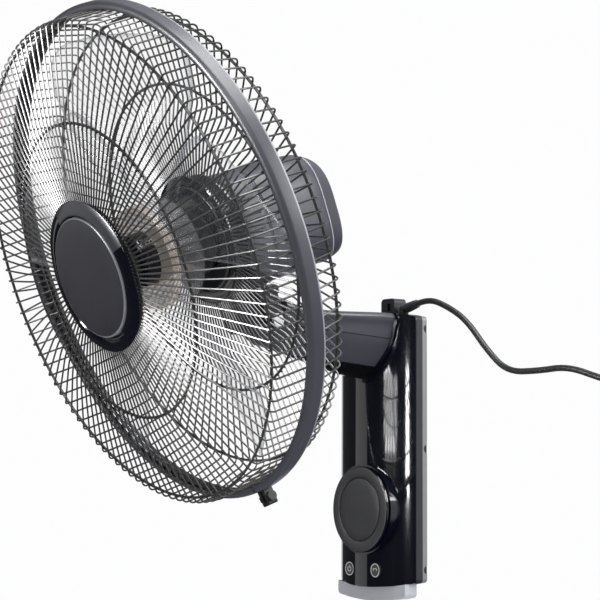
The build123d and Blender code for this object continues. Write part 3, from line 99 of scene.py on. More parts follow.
def tree_and_shader(material):
    """Node tree of a material and the Principled shader in it."""
    material.use_nodes = True
    return material.node_tree, material.node_tree.nodes["Principled BSDF"]


print("tools ready")

# %% [markdown]
# ## The photographer's place
# A camera in Blender looks along its own -Z axis with +Y up, so its turn is a matrix of three columns:
# right, up and backward. They come from an azimuth of 52.65 degrees, a look slightly upward and a tiny
# roll. The lens is long, about 121 mm, because product pictures are taken from far away. A long lens
# keeps the round guard an even ellipse. The small shift moves the frame without turning the camera.

# %% Camera
camera_place = Vector((1.4593, -1.2150, -0.0198))
camera_right = Vector((0.606857, 0.794804, 0.003291))
camera_up = Vector((0.059968, -0.049915, 0.996951))
camera_back = Vector((0.792546, -0.604810, -0.077955))
sensor_width = 36.0
focal_share = 2024.2 / 600  # focal length over the picture's width
lens_data = bpy.data.cameras.new("long_lens")
lens_data.sensor_width = sensor_width
lens_data.lens = focal_share * sensor_width
lens_data.shift_x = -0.0059
lens_data.shift_y = 0.0200
lens_data.clip_end = 60.0
camera = in_scene(bpy.data.objects.new("camera", lens_data))
camera.matrix_world = Matrix((camera_right, camera_up, camera_back)).transposed().to_4x4()
camera.location = camera_place
bpy.context.scene.camera = camera
bpy.context.scene.view_settings.view_transform = "Standard"
print("lens", round(lens_data.lens, 1), "mm")

# %% [markdown]
# ## Studio
# The picture has a white ground and deep black gloss, with a few hard-edged white reflections. A product
# photographer gets this with a white backdrop behind the object and a dark room in front of it, so that
# only the lamps show in the gloss. The world does the same: the camera sees it white, and everything else
# sees a dark room with bright patches behind the object and a soft glow from above and behind. The wide
# pale floor is left out of mirror reflections for the same reason.

# %% Surroundings
studio = bpy.data.worlds.new("studio")
bpy.context.scene.world = studio
studio.use_nodes = True
sky = studio.node_tree
sky.nodes.clear()
sky_place = add_node(sky, "TexCoord").outputs["Generated"]
room_light = 0.045


def glow(direction, dark_until, bright_from, strength):
    """Brightness that rises smoothly with the cosine of the angle to a direction."""
    side = add_node(sky, "VectorMath", {0: sky_place, 1: Vector(direction).normalized()},
                    operation="DOT_PRODUCT")
    rise = add_node(sky, "MapRange", {"Value": side.outputs["Value"], "From Min": dark_until,
                                      "From Max": bright_from, "To Max": strength},
                    interpolation_type="SMOOTHSTEP")
    return rise.outputs["Result"]


behind = glow((-0.80, 0.60, 0.0), 0.92, 0.965, 0.85)
above = glow((0.10, 0.55, 0.83), 0.45, 0.92, 0.55)
beside = glow((0.82, 0.57, 0.04), 0.86, 0.96, 0.60)
glows = arithmetic(sky, "ADD", behind, arithmetic(sky, "ADD", above, beside))
dark_room = add_node(sky, "Background", {"Color": (0.97, 0.98, 1.0, 1),
                                         "Strength": arithmetic(sky, "ADD", glows, room_light)})
backdrop = add_node(sky, "Background", {"Color": (0.985, 0.985, 0.99, 1)})
either = add_node(sky, "MixShader", {"Fac": add_node(sky, "LightPath").outputs["Is Camera Ray"],
                                     1: dark_room.outputs[0], 2: backdrop.outputs[0]})
add_node(sky, "OutputWorld", {"Surface": either.outputs[0]})
print("world nodes:", len(sky.nodes))

# %% Floor
floor_reach, floor_level = 9, -1.3
floor_mesh = bpy.data.meshes.new("floor")
floor_mesh.from_pydata([(x * floor_reach, y * floor_reach, floor_level)
                        for x, y in ((-1, -1), (1, -1), (1, 1), (-1, 1))], [], [(0, 1, 2, 3)])
floor = in_scene(bpy.data.objects.new("floor", floor_mesh))
floor.visible_glossy = False
floor_finish = bpy.data.materials.new("pale_floor")
fill(*tree_and_shader(floor_finish), {"Base Color": (0.82, 0.82, 0.83, 1), "Roughness": 0.8,
                                      "Emission Color": (0.95, 0.955, 0.965, 1), "Emission Strength": 0.72})
floor_mesh.materials.append(floor_finish)
print("floor", -floor_level, "m under the middle of the column")


# %% Softboxes
def softbox(name, azimuth, height, away, wide, tall, power, aim=(0.0, 0.0, 0.0), only_mirrored=False):
    """Rectangular lamp on a circle round the column, turned to face a point. One that is only mirrored
    shows in gloss but doesn't lighten matte things, as a far strip between two flags does."""
    lamp = bpy.data.lights.new(name, "AREA")
    lamp.shape = "RECTANGLE"
    lamp.size, lamp.size_y = wide, tall
    lamp.energy = power
    holder = in_scene(bpy.data.objects.new(name, lamp))
    holder.visible_diffuse = not only_mirrored
    place = Vector((sin(radians(azimuth)) * away, -cos(radians(azimuth)) * away, height))
    holder.location = place
    holder.rotation_mode = "QUATERNION"
    holder.rotation_quaternion = (place - Vector(aim)).to_track_quat("Z", "Y")


softbox("slot_top", -12.5, 0.56, 2.2, 0.66, 0.78, 85, only_mirrored=True)
softbox("slot_middle", -12.5, 0.108, 2.2, 0.64, 0.118, 1.6, only_mirrored=True)
softbox("slot_foot", -12.5, 0.032, 2.2, 0.54, 0.030, 0.7, only_mirrored=True)
softbox("edge_strip", 7.5, 0.06, 2.2, 0.15, 0.26, 5, only_mirrored=True)
softbox("far_panel", -57, 0.25, 2.6, 1.0, 1.3, 2.2, only_mirrored=True)
softbox("front_fill", 30, 1.5, 2.4, 1.6, 0.9, 20, aim=(0.0, -0.3, 0.2))
softbox("top_light", 70, 2.3, 0.7, 1.5, 1.5, 60, aim=(0.0, -0.15, 0.1))
softbox("back_rim", 118, 0.95, 1.7, 0.9, 0.9, 22, aim=(0.0, -0.15, 0.2))

# %% [markdown]
# ## Mains cord
# A cord is a fixed length of something flexible. It leaves the tapered sleeve on top of the column, drops
# under its own weight, lies along the wall side and ends in a tied coil with the plug on it. One open
# NURBS curve goes through the whole of it. Its control points are the points of the route and, for the
# coil, points on circles whose radius shrinks, steps one layer forward and grows again. The order and
# the end option are set after the points are added, because earlier they would leave straight runs.

# %% Route of the cord
cord_diameter = 0.0055
cord_exit = (0.055563, -0.0128, 0.132458)
sleeve_slope = radians(12)
straight_run = 0.016  # out of the sleeve, still along it
on_wall_y, coil_z = -0.0043, 0.051
route = [
    cord_exit,
    (cord_exit[0] + straight_run * cos(sleeve_slope), cord_exit[1],
     cord_exit[2] + straight_run * sin(sleeve_slope)),
    (0.090, -0.009, 0.129),
    (0.117, -0.008, 0.1145),
    (0.144, -0.008, 0.086),
    (0.170, -0.008, 0.066),
    (0.208, -0.008, 0.0655),
    (0.244, -0.008, 0.068),
    (0.279, -0.0055, 0.057),
    (0.305, on_wall_y, coil_z),
    (0.3215, on_wall_y, coil_z),
]
coil_radii = [39, 36, 33, 30, 27, 24, 21, 24, 27, 30, 33, 36]
layer_step = 0.006
print("route points", len(route), "half turns", len(coil_radii))


# %% Coil as more points of the same curve
def half_turn(corner, radius, side, forward, steps=7):
    """Half circle of control points in the plane of the wall. side is +1 on the right, going down, and -1
    on the left, going up; forward is how far it steps into the room on its way. The first and last corner
    are shared with the next half turn, and each point is pushed out so that the smooth line keeps the
    radius, because a quadratic spline cuts inside its corners by the cosine of half the step."""
    turn = (np.arange(steps) + 0.5) / steps * pi
    stretch = 1 / cos(pi / steps / 2)
    x = corner[0] + side * radius * np.sin(turn) * stretch
    z = corner[2] - side * radius * (1 - np.cos(turn) * stretch)
    y = corner[1] - forward * (turn / pi)
    return list(zip(x.tolist(), y.tolist(), z.tolist()))


coil_x, coil_y = 0.327, on_wall_y
coil_points = []
for number, millimetres in enumerate(coil_radii):
    radius, side = millimetres / 1000, 1 - 2 * (number % 2)
    step_forward = layer_step if millimetres == min(coil_radii) else 0.0
    coil_points += half_turn((coil_x, coil_y, coil_z), radius, side, step_forward)
    coil_y, coil_z = coil_y - step_forward, coil_z - side * 2 * radius
coil_points += [(coil_x + 0.012, coil_y, coil_z), (coil_x + 0.048, coil_y, coil_z)]
print("coil ends at", round(coil_x, 4), round(coil_y, 4), round(coil_z, 4))

# %% The curve itself
every_point = route + coil_points
cord_curve = bpy.data.curves.new("cord_line", "CURVE")
cord_curve.dimensions = "3D"
cord_curve.bevel_depth = 1.0  # times each point's own radius
cord_curve.bevel_resolution = 5
cord_curve.resolution_u = 6
cord_spline = cord_curve.splines.new("NURBS")
cord_spline.points.add(len(every_point) - 1)
cord_spline.points.foreach_set("co", np.array([(*point, 1.0) for point in every_point]).ravel())
cord_spline.points.foreach_set("radius", np.full(len(every_point), cord_diameter / 2))
cord_spline.order_u = 3
cord_spline.use_endpoint_u = True
cord_piece = in_scene(bpy.data.objects.new("mains_cord", cord_curve))
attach(cord_piece, "base")
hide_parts("cord", "cord_coil")
print("cord control points", len(every_point))

# %% [markdown]
# ## What the finishes share
# Moulded plastic is never perfectly even: the mould leaves a fine grain, and the surface takes the light a
# little differently from place to place. Paint on metal has the same slow unevenness with a softer skin.
# This is built once as a node group, so each finish only gives it its own colour, roughness and grain
# size. A group may put out only what changes over the surface, and the shader itself stays outside it.

# %% Tools for node groups
def start_group(name, inputs, outputs):
    """New shader group with typed and named sockets; returns it with its two end nodes."""
    group = bpy.data.node_groups.new(name, "ShaderNodeTree")
    for label, kind, value in inputs:
        socket = group.interface.new_socket(label, in_out="INPUT", socket_type="NodeSocket" + kind)
        socket.default_value = value
    for label, kind in outputs:
        group.interface.new_socket(label, in_out="OUTPUT", socket_type="NodeSocket" + kind)
    return group, group.nodes.new("NodeGroupInput").outputs, group.nodes.new("NodeGroupOutput")


def noise(tree, vector, scale, detail=2.0, roughness=0.5):
    """One Noise Texture; the scale is in waves a metre."""
    return add_node(tree, "TexNoise", {"Vector": vector, "Scale": scale, "Detail": detail,
                                       "Roughness": roughness}).outputs["Fac"]


def lighter(tree, colour, factor):
    """Colour times a changing factor, through a Hue/Saturation/Value node."""
    return add_node(tree, "HueSaturation", {"Color": colour, "Value": factor}).outputs["Color"]


def tinted(tree, share, colour, other):
    """Colour mixed with another one by a share; a Mix node for colours takes them at sockets 0, 6 and 7."""
    return add_node(tree, "Mix", {0: share, 6: colour, 7: (*other, 1)}, data_type="RGBA").outputs[2]


def object_place(tree):
    """Coordinates of the surface point on its own object."""
    return add_node(tree, "TexCoord").outputs["Object"]


surface_outputs = [("Colour", "Color"), ("Roughness", "Float"), ("Height", "Float")]
print("group tools ready")

# %% Skin of moulded or painted parts
slow_waves = 28.0  # a metre
grain_in_tone, grain_in_shine = 0.10, 0.06
moulded_skin, given, skin_out = start_group(
    "moulded_skin", [("Colour", "Color", (0.1, 0.1, 0.1, 1)), ("Roughness", "Float", 0.4),
                     ("Grain per metre", "Float", 1600.0), ("Unevenness", "Float", 0.12)], surface_outputs)
skin_place = object_place(moulded_skin)
grain = noise(moulded_skin, skin_place, given["Grain per metre"], 3.0, 0.6)
grain_shift = arithmetic(moulded_skin, "SUBTRACT", grain, 0.5)
slow_shift = arithmetic(moulded_skin, "SUBTRACT", noise(moulded_skin, skin_place, slow_waves), 0.5)
tone = scaled(moulded_skin, slow_shift, given["Unevenness"], 1.0)
tone = scaled(moulded_skin, grain_shift, grain_in_tone, tone)
shine = scaled(moulded_skin, slow_shift, given["Unevenness"], given["Roughness"])
shine = scaled(moulded_skin, grain_shift, grain_in_shine, shine, clamp=True)
fill(moulded_skin, skin_out, {"Colour": lighter(moulded_skin, given["Colour"], tone),
                              "Roughness": shine, "Height": grain})
print("moulded_skin nodes:", len(moulded_skin.nodes))

# %% [markdown]
# Metal that was drawn, turned or plated shows fine streaks instead of grain. A noise that is stretched
# along one direction gives them: the coordinates are pressed together along the streaks before the noise
# reads them. Handled edges and the tops of things also gather a little pale dust, which is a mask from
# the upward part of the surface normal times a broken noise.

# %% Streaks of worked metal, and dust
worked_streaks, given, streak_out = start_group(
    "worked_streaks", [("Colour", "Color", (0.5, 0.5, 0.5, 1)), ("Roughness", "Float", 0.3),
                       ("Stretch", "Vector", (900.0, 900.0, 60.0)), ("Depth", "Float", 0.2)],
    surface_outputs)
pressed = add_node(worked_streaks, "VectorMath", {0: object_place(worked_streaks), 1: given["Stretch"]},
                   operation="MULTIPLY")
streak = noise(worked_streaks, pressed.outputs[0], 1.0, 3.0, 0.6)
streak_shift = arithmetic(worked_streaks, "SUBTRACT", streak, 0.5)
tone = scaled(worked_streaks, streak_shift, given["Depth"], 1.0)
shine = scaled(worked_streaks, streak_shift, given["Depth"], given["Roughness"])
fill(worked_streaks, streak_out, {"Colour": lighter(worked_streaks, given["Colour"], tone),
                                  "Roughness": shine, "Height": streak})

settled_dust, given, dust_out = start_group(
    "settled_dust", [("Colour", "Color", (0.1, 0.1, 0.1, 1)), ("Dust", "Float", 0.03)],
    [("Colour", "Color")])
dust_colour, dust_waves = (0.55, 0.54, 0.52), 140.0
normal = add_node(settled_dust, "SeparateXYZ", {0: add_node(settled_dust, "NewGeometry").outputs["Normal"]})
patches = noise(settled_dust, object_place(settled_dust), dust_waves, 4.0, 0.65)
dust_mask = arithmetic(settled_dust, "MAXIMUM", normal.outputs["Z"], 0.0)
for share in (patches, given["Dust"]):
    dust_mask = arithmetic(settled_dust, "MULTIPLY", dust_mask, share)
fill(settled_dust, dust_out, {"Colour": tinted(settled_dust, dust_mask, given["Colour"], dust_colour)})
print("worked_streaks and settled_dust ready")


# %% One finish from the groups
relief_depth = 0.0003


def surface_finish(name, colour, roughness, group=moulded_skin, bump=0.05, dust=0.0, metallic=0.0,
                   coat=0.0, coat_roughness=0.08, sheen=0.0, **values):
    """Principled material whose colour, roughness and bump come from one of the shared groups."""
    material = bpy.data.materials.new(name)
    tree, shader = tree_and_shader(material)
    values = {label.replace("_", " "): value for label, value in values.items()}
    skin = add_node(tree, "Group", {"Colour": (*colour, 1), "Roughness": roughness, **values},
                    node_tree=group)
    shown_colour = skin.outputs["Colour"]
    if dust:
        layer = add_node(tree, "Group", {"Dust": dust, "Colour": shown_colour}, node_tree=settled_dust)
        shown_colour = layer.outputs["Colour"]
    relief = add_node(tree, "Bump", {"Strength": bump, "Distance": relief_depth,
                                     "Height": skin.outputs["Height"]})
    fill(tree, shader, {"Base Color": shown_colour, "Roughness": skin.outputs["Roughness"],
                        "Normal": relief.outputs["Normal"], "Metallic": metallic, "Coat Weight": coat,
                        "Coat Roughness": coat_roughness, "Sheen Weight": sheen})
    return material


print("finish maker ready")

# %% [markdown]
# ## Finishes of this fan
# The column cover is deep black gloss plastic that mirrors the lamps. The ring and the motor's cover are
# satin navy, where the light spreads softly. The guard wires are plated with dark nickel, which looks
# dark over white and bright over black. Every colour was judged in the light of this studio.

# %% Plastics and paints
finishes = {slot: surface_finish(name, colour, roughness, bump=bump, dust=dust, **rest)
            for slot, name, colour, roughness, bump, dust, rest in (
    ("navy_metal", "satin_navy_paint", (0.054, 0.056, 0.070), 0.36, 0.03, 0.04,
     dict(coat=0.35, coat_roughness=0.22, Unevenness=0.10)),
    ("gloss_black", "deep_black_gloss", (0.0022, 0.0029, 0.0075), 0.08, 0.012, 0.012,
     dict(coat=0.6, coat_roughness=0.03, Unevenness=0.06, Grain_per_metre=420.0)),
    ("dark_grey", "matte_charcoal_plastic", (0.020, 0.021, 0.026), 0.46, 0.12, 0.03, {}),
    ("navy_plastic", "satin_navy_plastic", (0.052, 0.053, 0.068), 0.33, 0.05, 0.04,
     dict(coat=0.25, coat_roughness=0.2, Unevenness=0.10)),
    ("black_plastic", "plain_black_plastic", (0.010, 0.010, 0.011), 0.42, 0.10, 0.03, {}),
    ("pale_plastic", "pale_cap_plastic", (0.44, 0.455, 0.49), 0.32, 0.05, 0.0, dict(Unevenness=0.06)),
    ("grey_plastic", "dark_boss_plastic", (0.020, 0.021, 0.024), 0.36, 0.07, 0.02, {}),
    ("white_plastic", "white_nylon", (0.72, 0.71, 0.68), 0.38, 0.06, 0.0, dict(Unevenness=0.08)),
    ("circuit_green", "board_lacquer", (0.012, 0.085, 0.035), 0.30, 0.05, 0.0,
     dict(coat=0.3, Grain_per_metre=700.0)),
    ("cord_black", "cord_jacket", (0.011, 0.011, 0.012), 0.38, 0.10, 0.0,
     dict(sheen=0.15, Unevenness=0.14, Grain_per_metre=1100.0)),
)}
print("plastics and paints:", len(finishes))

# %% Metals
even = np.ones(3)  # streaks that are equal in every direction
finishes.update({slot: surface_finish(name, colour, roughness, worked_streaks, bump, metallic=metallic,
                                      Stretch=stretch, Depth=depth, **rest)
                 for slot, name, colour, roughness, metallic, bump, stretch, depth, rest in (
    ("wire_chrome", "dark_nickel_plating", (0.085, 0.083, 0.083), 0.30, 0.60, 0.03, 700 * even, 0.22,
     dict(coat=0.3, coat_roughness=0.18)),
    ("steel", "drawn_steel", (0.42, 0.43, 0.45), 0.28, 1.0, 0.08, (1500.0, 1500.0, 90.0), 0.25, {}),
    ("zinc_steel", "zinc_plated_screws", (0.50, 0.51, 0.52), 0.33, 1.0, 0.10, 900 * even, 0.30, {}),
    ("plate_steel", "silver_painted_plate", (0.23, 0.235, 0.245), 0.40, 0.25, 0.04, 600 * even, 0.10, {}),
    ("stack_steel", "laminated_iron", (0.16, 0.16, 0.17), 0.48, 0.8, 0.5, (30.0, 1800.0, 30.0), 0.5, {}),
    ("copper_wound", "enamelled_copper", (0.34, 0.12, 0.045), 0.30, 0.7, 0.6, (120.0, 1400.0, 120.0), 0.6,
     {}),
    ("aluminium_die", "die_cast_aluminium", (0.46, 0.47, 0.49), 0.42, 1.0, 0.25, 500 * even, 0.25, {}),
)})
print("finishes in all:", len(finishes))

# %% [markdown]
# The blades are clear plastic with a hint of smoke. Real refraction in thin shells behind a wire mesh
# costs much and shows little, so the finish is a film: mostly see-through, with a clean gloss on top. It
# shows more where one looks along the surface, which Layer Weight gives, and most of all on the moulded
# rim, which each blade carries as an attribute of its own. The drum's front and skirt are such films too.

# %% Clear films
def clear_film(name, colour, roughness, blend, gain, least, rim_gain=0.0, **values):
    """Film whose opacity is the least of it seen straight on and grows by the gain along the surface. With
    a rim gain, it grows by that too where the attribute "rim" is 1."""
    material = surface_finish(name, colour, roughness, bump=0.02, **values)
    tree, shader = tree_and_shader(material)
    facing = add_node(tree, "LayerWeight", {"Blend": blend}).outputs["Facing"]
    film = scaled(tree, facing, gain, least)
    if rim_gain:
        rim = add_node(tree, "Attribute", attribute_name="rim").outputs["Fac"]
        film = scaled(tree, rim, rim_gain, film, clamp=True)
    fill(tree, shader, {"Alpha": film})
    return material


finishes["clear_smoke"] = clear_film("clear_smoke_film", (0.30, 0.31, 0.34), 0.10, blend=0.35, gain=0.10,
                                     least=0.035, rim_gain=0.34, coat=0.4, coat_roughness=0.04,
                                     Unevenness=0.05)
milky_drum = clear_film("milky_drum_film", (0.60, 0.52, 0.45), 0.22, blend=0.4, gain=0.35, least=0.30,
                        coat=0.3, Unevenness=0.08)
clear_drum = clear_film("clear_drum_film", (0.46, 0.46, 0.48), 0.14, blend=0.35, gain=0.24, least=0.05,
                        coat=0.4, Unevenness=0.06)
print("films:", finishes["clear_smoke"].name, milky_drum.name, clear_drum.name)

# %% [markdown]
# The arm is two mouldings that meet in a thin seam, whose dark line is painted shade. The lower one is satin
# navy like the upper one and glossier on its underside, where painted shade turns its colour black. Seam and
# border are both straight lines that climb a little toward the neck, so each is a height that grows with the
# distance from the wall, and the object's coordinates say how far above or below it a point lies.

# %% Arm finishes
seam_height, seam_climb, seam_sharpness = 0.0990, 0.067, 3000.0
border_height, border_climb, border_sharpness = 0.0728, 0.091, 2500.0


def above_line(tree, at_wall, climb):
    """Height of a surface point over a line from a height on the wall that climbs into the room."""
    place = add_node(tree, "SeparateXYZ", {0: object_place(tree)})
    line = scaled(tree, place.outputs["Y"], -climb, at_wall)
    return arithmetic(tree, "SUBTRACT", place.outputs["Z"], line)


def arm_finish(name, gloss_and_shade_below):
    """Satin navy with painted shade in the seam; with gloss_and_shade_below it is glossier under the border, where
    painted shade turns it black.
    """
    material = surface_finish(name, (0.054, 0.055, 0.070), 0.34, bump=0.04, coat=0.2, coat_roughness=0.05,
                              Unevenness=0.10)
    tree, shader = tree_and_shader(material)
    colour, shine = (shader.inputs[label].links[0].from_socket for label in ("Base Color", "Roughness"))
    # Painted shade: the colour darkens in a narrow band along the seam.
    away = arithmetic(tree, "ABSOLUTE", above_line(tree, seam_height, seam_climb))
    dark = scaled(tree, away, -seam_sharpness, 2.0, clamp=True)
    if gloss_and_shade_below:
        # Under the border the coat and roughness give a real gloss, and the colour is painted shade, turning
        # black.
        under = scaled(tree, above_line(tree, border_height, border_climb), -border_sharpness, 0.5,
                       clamp=True)
        smoother = scaled(tree, under, -0.75, 1.0)
        fill(tree, shader, {"Roughness": arithmetic(tree, "MULTIPLY", shine, smoother),
                            "Coat Weight": scaled(tree, under, 0.45, 0.2)})
        dark = arithmetic(tree, "MAXIMUM", under, dark)
    fade = scaled(tree, dark, -0.93, 1.0)
    fill(tree, shader, {"Base Color": lighter(tree, colour, fade)})
    return material


arm_above, arm_below = arm_finish("satin_arm", False), arm_finish("arm_painted_shade_below", True)
print("seam at the wall", seam_height, "m, border", border_height, "m")

# %% [markdown]
# A chamfer that catches the light is too narrow to show by itself in a picture of this size, so its light is
# painted: such pieces carry an attribute "edge" that is 1 on the chamfer's own points, and the finish paints a
# highlight there by turning lighter.

# %% Finishes with a painted highlight on the edge
def painted_highlight_finish(name, colour, roughness, highlight_colour, **values):
    """Finish whose colour turns to a lighter one, a painted highlight, where the piece's own attribute "edge" is
    1.
    """
    material = surface_finish(name, colour, roughness, **values)
    tree, shader = tree_and_shader(material)
    highlight_share = add_node(tree, "Attribute", attribute_name="edge").outputs["Fac"]
    plain = shader.inputs["Base Color"].links[0].from_socket
    fill(tree, shader, {"Base Color": tinted(tree, highlight_share, plain, highlight_colour)})
    return material


# satin_badge, matte_dial, ring_paint and housing_paint paint a highlight: a lighter colour on the points marked
# "edge".
satin_disc = painted_highlight_finish("satin_badge", (0.024, 0.024, 0.033), 0.38, (0.20, 0.20, 0.23), bump=0.03,
                         coat=0.2, coat_roughness=0.25, dust=0.02)
# Painted reflection of a softbox on the badge's bevel, as a lighter satin.
bevel_painted_reflection = surface_finish("bevel_painted_reflection", (0.026, 0.027, 0.037), 0.30, bump=0.03, coat=0.3,
                             coat_roughness=0.15)
matte_dial = painted_highlight_finish("matte_dial", (0.022, 0.022, 0.027), 0.44, (0.09, 0.09, 0.10), bump=0.10,
                         dust=0.02)
ring_paint = painted_highlight_finish("ring_paint", (0.052, 0.054, 0.068), 0.40, (0.30, 0.31, 0.34), bump=0.03,
                         coat=0.25, coat_roughness=0.25, dust=0.04, Unevenness=0.10)
housing_paint = painted_highlight_finish("housing_paint", (0.046, 0.047, 0.061), 0.42, (0.36, 0.36, 0.40), coat=0.12,
                            coat_roughness=0.3, dust=0.04, Unevenness=0.10)
print("edge finishes ready")

# %% Give every solid part its finish
for row in frame["record"]["subparts"]:
    materials = nodes[row["node"]].data.materials
    materials.clear()
    materials.append(finishes[row["material_slot"]])
nodes["arm_upper"].data.materials[0] = arm_above
nodes["arm_lower"].data.materials[0] = arm_below
cord_piece.data.materials.append(finishes["cord_black"])
print("dressed parts:", len(nodes))

# %% [markdown]
# ## The head's own directions
# The head is tilted 20.5 degrees down and panned a little, so everything on it is worked out in its own
# directions first: right, up along the neck, and front along the shaft. They come from the joints of the
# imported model, so nothing has to be fitted by eye. Depths in front of the ring's centre are positive. The
# column has such directions too: right, up and out from the wall.

# %% Places on the head and on the column
joints = {joint["name"]: joint for joint in frame["joints"]}


def joint_direction(name):
    """Direction of a joint's axis, one unit long."""
    axis = np.array(joints[name]["axis"], float)
    return axis / np.linalg.norm(axis)


def as_points(across, upward, forward):
    """Three arrays of coordinates as one array of points."""
    return np.stack(np.broadcast_arrays(across, upward, forward), axis=-1)


def place_at(origin, right, up, front):
    """Function that takes points in millimetres, right, up and in front of an origin, into the scene."""
    directions = np.array([right, up, front]) / 1000
    return lambda points: origin + points @ directions


ring_centre = np.array(joints["blade_spin"]["pos_m"])
head_front, head_up = joint_direction("blade_spin"), joint_direction("head_pan")
on_head = place_at(ring_centre, np.cross(head_up, head_front), head_up, head_front)
wall_directions = (1, 0, 0), (0, 0, 1), (0, -1, 0)
on_wall = place_at(np.zeros(3), *wall_directions)
print("ring centre", ring_centre.round(4), "front", head_front.round(3))

# %% [markdown]
# ## Surfaces from arrays
# Every new piece is a grid of points: one parameter runs along the piece and one across it. Neighbours
# in the grid make a quad face. A grid that closes on itself takes its first row again after its last, so
# it has no seam, and a pole is one point shared by a fan of triangles. Equal shapes, such as the wires, are
# copied in one go, because the whole calculation is done on arrays. A part is kept as its points in
# millimetres, its quads and its triangles, and only the finished piece is placed in the scene.

# %% Grids into parts
no_triangles = np.zeros((0, 3), int)


def circle(steps):
    """Angles of evenly spaced points on a full circle."""
    return np.arange(steps) / steps * 2 * pi


def grid_faces(rows, columns, close_rows=False, close_columns=False):
    """Quads between neighbouring grid points, as rows of four point numbers."""
    row = np.arange(rows if close_rows else rows - 1)
    column = np.arange(columns if close_columns else columns - 1)
    row, column = np.meshgrid(row, column, indexing="ij")
    next_row, next_column = (row + 1) % rows, (column + 1) % columns
    quads = np.stack([row * columns + column, row * columns + next_column,
                      next_row * columns + next_column, next_row * columns + column], axis=-1)
    return quads.reshape(-1, 4)


def outward(points, quads, triangles=no_triangles):
    """One closed surface as a part. All its faces are turned over if its volume, summed over them, is
    negative."""
    halves = np.concatenate([quads[:, [0, 1, 2]], quads[:, [0, 2, 3]], triangles])
    first, second, third = (points - points.mean(0))[halves].transpose(1, 0, 2)
    if np.einsum("ij,ij->", first, np.cross(second, third)) < 0:
        quads, triangles = quads[:, ::-1], triangles[:, ::-1]
    return points, quads, triangles


def closed_tube(grid, poles=None):
    """Part from a grid that closes on itself across, with a fan round a pole at each end. The poles are the
    middles of the end rows unless they are given."""
    rows, around = grid.shape[:2]
    points = np.concatenate([grid.reshape(-1, 3), grid[[0, -1]].mean(axis=1) if poles is None else poles])
    ring, last = np.arange(around), (rows - 1) * around
    onward = (ring + 1) % around
    pole = np.full(around, rows * around)
    fans = np.concatenate([np.stack([pole, onward, ring], axis=1),
                           np.stack([pole + 1, last + ring, last + onward], axis=1)])
    return outward(points, grid_faces(rows, around, close_columns=True), fans)


def four_sided_tube(grid, closed=False):
    """Part from a grid with four corners across; it closes on itself, or with one face at each end."""
    rows = len(grid)
    last = (rows - 1) * 4
    ends = [] if closed else [[[3, 2, 1, 0], [last, last + 1, last + 2, last + 3]]]
    return outward(grid.reshape(-1, 3), np.concatenate([grid_faces(rows, 4, closed, True), *ends]))


def turned_copies(part, angles):
    """Copies of a part turned about the shaft to several angles, as one part."""
    points, quads, triangles = part
    across, upward, forward = points.T
    angles = np.asarray(angles)[:, None]
    copies = as_points(across * np.cos(angles) - upward * np.sin(angles),
                       across * np.sin(angles) + upward * np.cos(angles), forward)
    shift = np.arange(len(angles))[:, None, None] * len(points)
    return copies.reshape(-1, 3), (quads + shift).reshape(-1, 4), (triangles + shift).reshape(-1, 3)


def join(*parts):
    """Several parts as one."""
    shift = np.cumsum([0] + [len(part[0]) for part in parts[:-1]])
    return (np.concatenate([part[0] for part in parts]),
            *(np.concatenate([part[kind] + by for part, by in zip(parts, shift)]) for kind in (1, 2)))


print("grid tools ready")


# %% Parts into pieces
def lay_mesh(name, part, slot_name, body="head", hides=(), smooth=40, finish=None, place=on_head):
    """Object at the origin from a part. It rides on a body and takes the finish given, or else the finish of
    the slot, and its edges are sharp where faces meet at more than the smooth angle."""
    points, quads, triangles = part
    mesh = bpy.data.meshes.new(name)
    mesh.vertices.add(len(points))
    mesh.vertices.foreach_set("co", place(points).astype(np.float32).ravel())
    mesh.loops.add(quads.size + triangles.size)
    corners = np.concatenate([quads.ravel(), triangles.ravel()])
    mesh.loops.foreach_set("vertex_index", corners.astype(np.int32))
    mesh.polygons.add(len(quads) + len(triangles))
    starts = np.concatenate([np.arange(len(quads)) * 4, quads.size + np.arange(len(triangles)) * 3])
    mesh.polygons.foreach_set("loop_start", starts.astype(np.int32))
    mesh.update(calc_edges=True)
    mesh.validate()
    mesh.shade_smooth()
    mesh.set_sharp_from_angle(angle=radians(smooth))
    mesh.materials.append(finish or finishes[slot_name])
    piece = in_scene(bpy.data.objects.new(name, mesh))
    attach(piece, body)
    if hides:
        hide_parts(*hides)
    return piece


def mark_points(piece, name, values):
    """Gives a piece an attribute with one value for each point."""
    layer = piece.data.attributes.new(name, "FLOAT", "POINT")
    layer.data.foreach_set("value", np.asarray(values, np.float32))


def mark_painted_highlight(piece, measure, low, high, also=True):
    """Marks as an edge, which takes a painted highlight, the points where a measure lies between two limits."""
    mark_points(piece, "edge", (measure > low) & (measure < high) & also)


def from_axis(part, centre=(0, 0)):
    """Distances of a part's points from an axis."""
    return np.hypot(*(part[0][:, :2] - centre).T)


print("mesh tools ready")


# %% Paths with rounded corners
def rounded_path(corners, bends, steps):
    """Path through the corner points with an arc at each inner one. Each arc starts and ends where a
    circle of the bend's radius touches the two runs: the radius times the tangent of half the turn away
    from the corner."""
    corners = np.asarray(corners, float)
    path = [corners[0]]
    for before, corner, after, bend in zip(corners, corners[1:], corners[2:], bends):
        inward, onward = before - corner, after - corner
        inward /= np.linalg.norm(inward)
        onward /= np.linalg.norm(onward)
        half = np.arccos(np.clip(-inward @ onward, -1, 1)) / 2
        middle, across = inward + onward, onward - inward
        middle /= np.linalg.norm(middle)
        across /= np.linalg.norm(across)
        centre = corner + middle * bend / cos(half)
        turn = np.linspace(-half, half, steps + 1)[:, None]
        path += list(centre - middle * bend * np.cos(turn) + across * bend * np.sin(turn))
    return np.array([*path, corners[-1]])


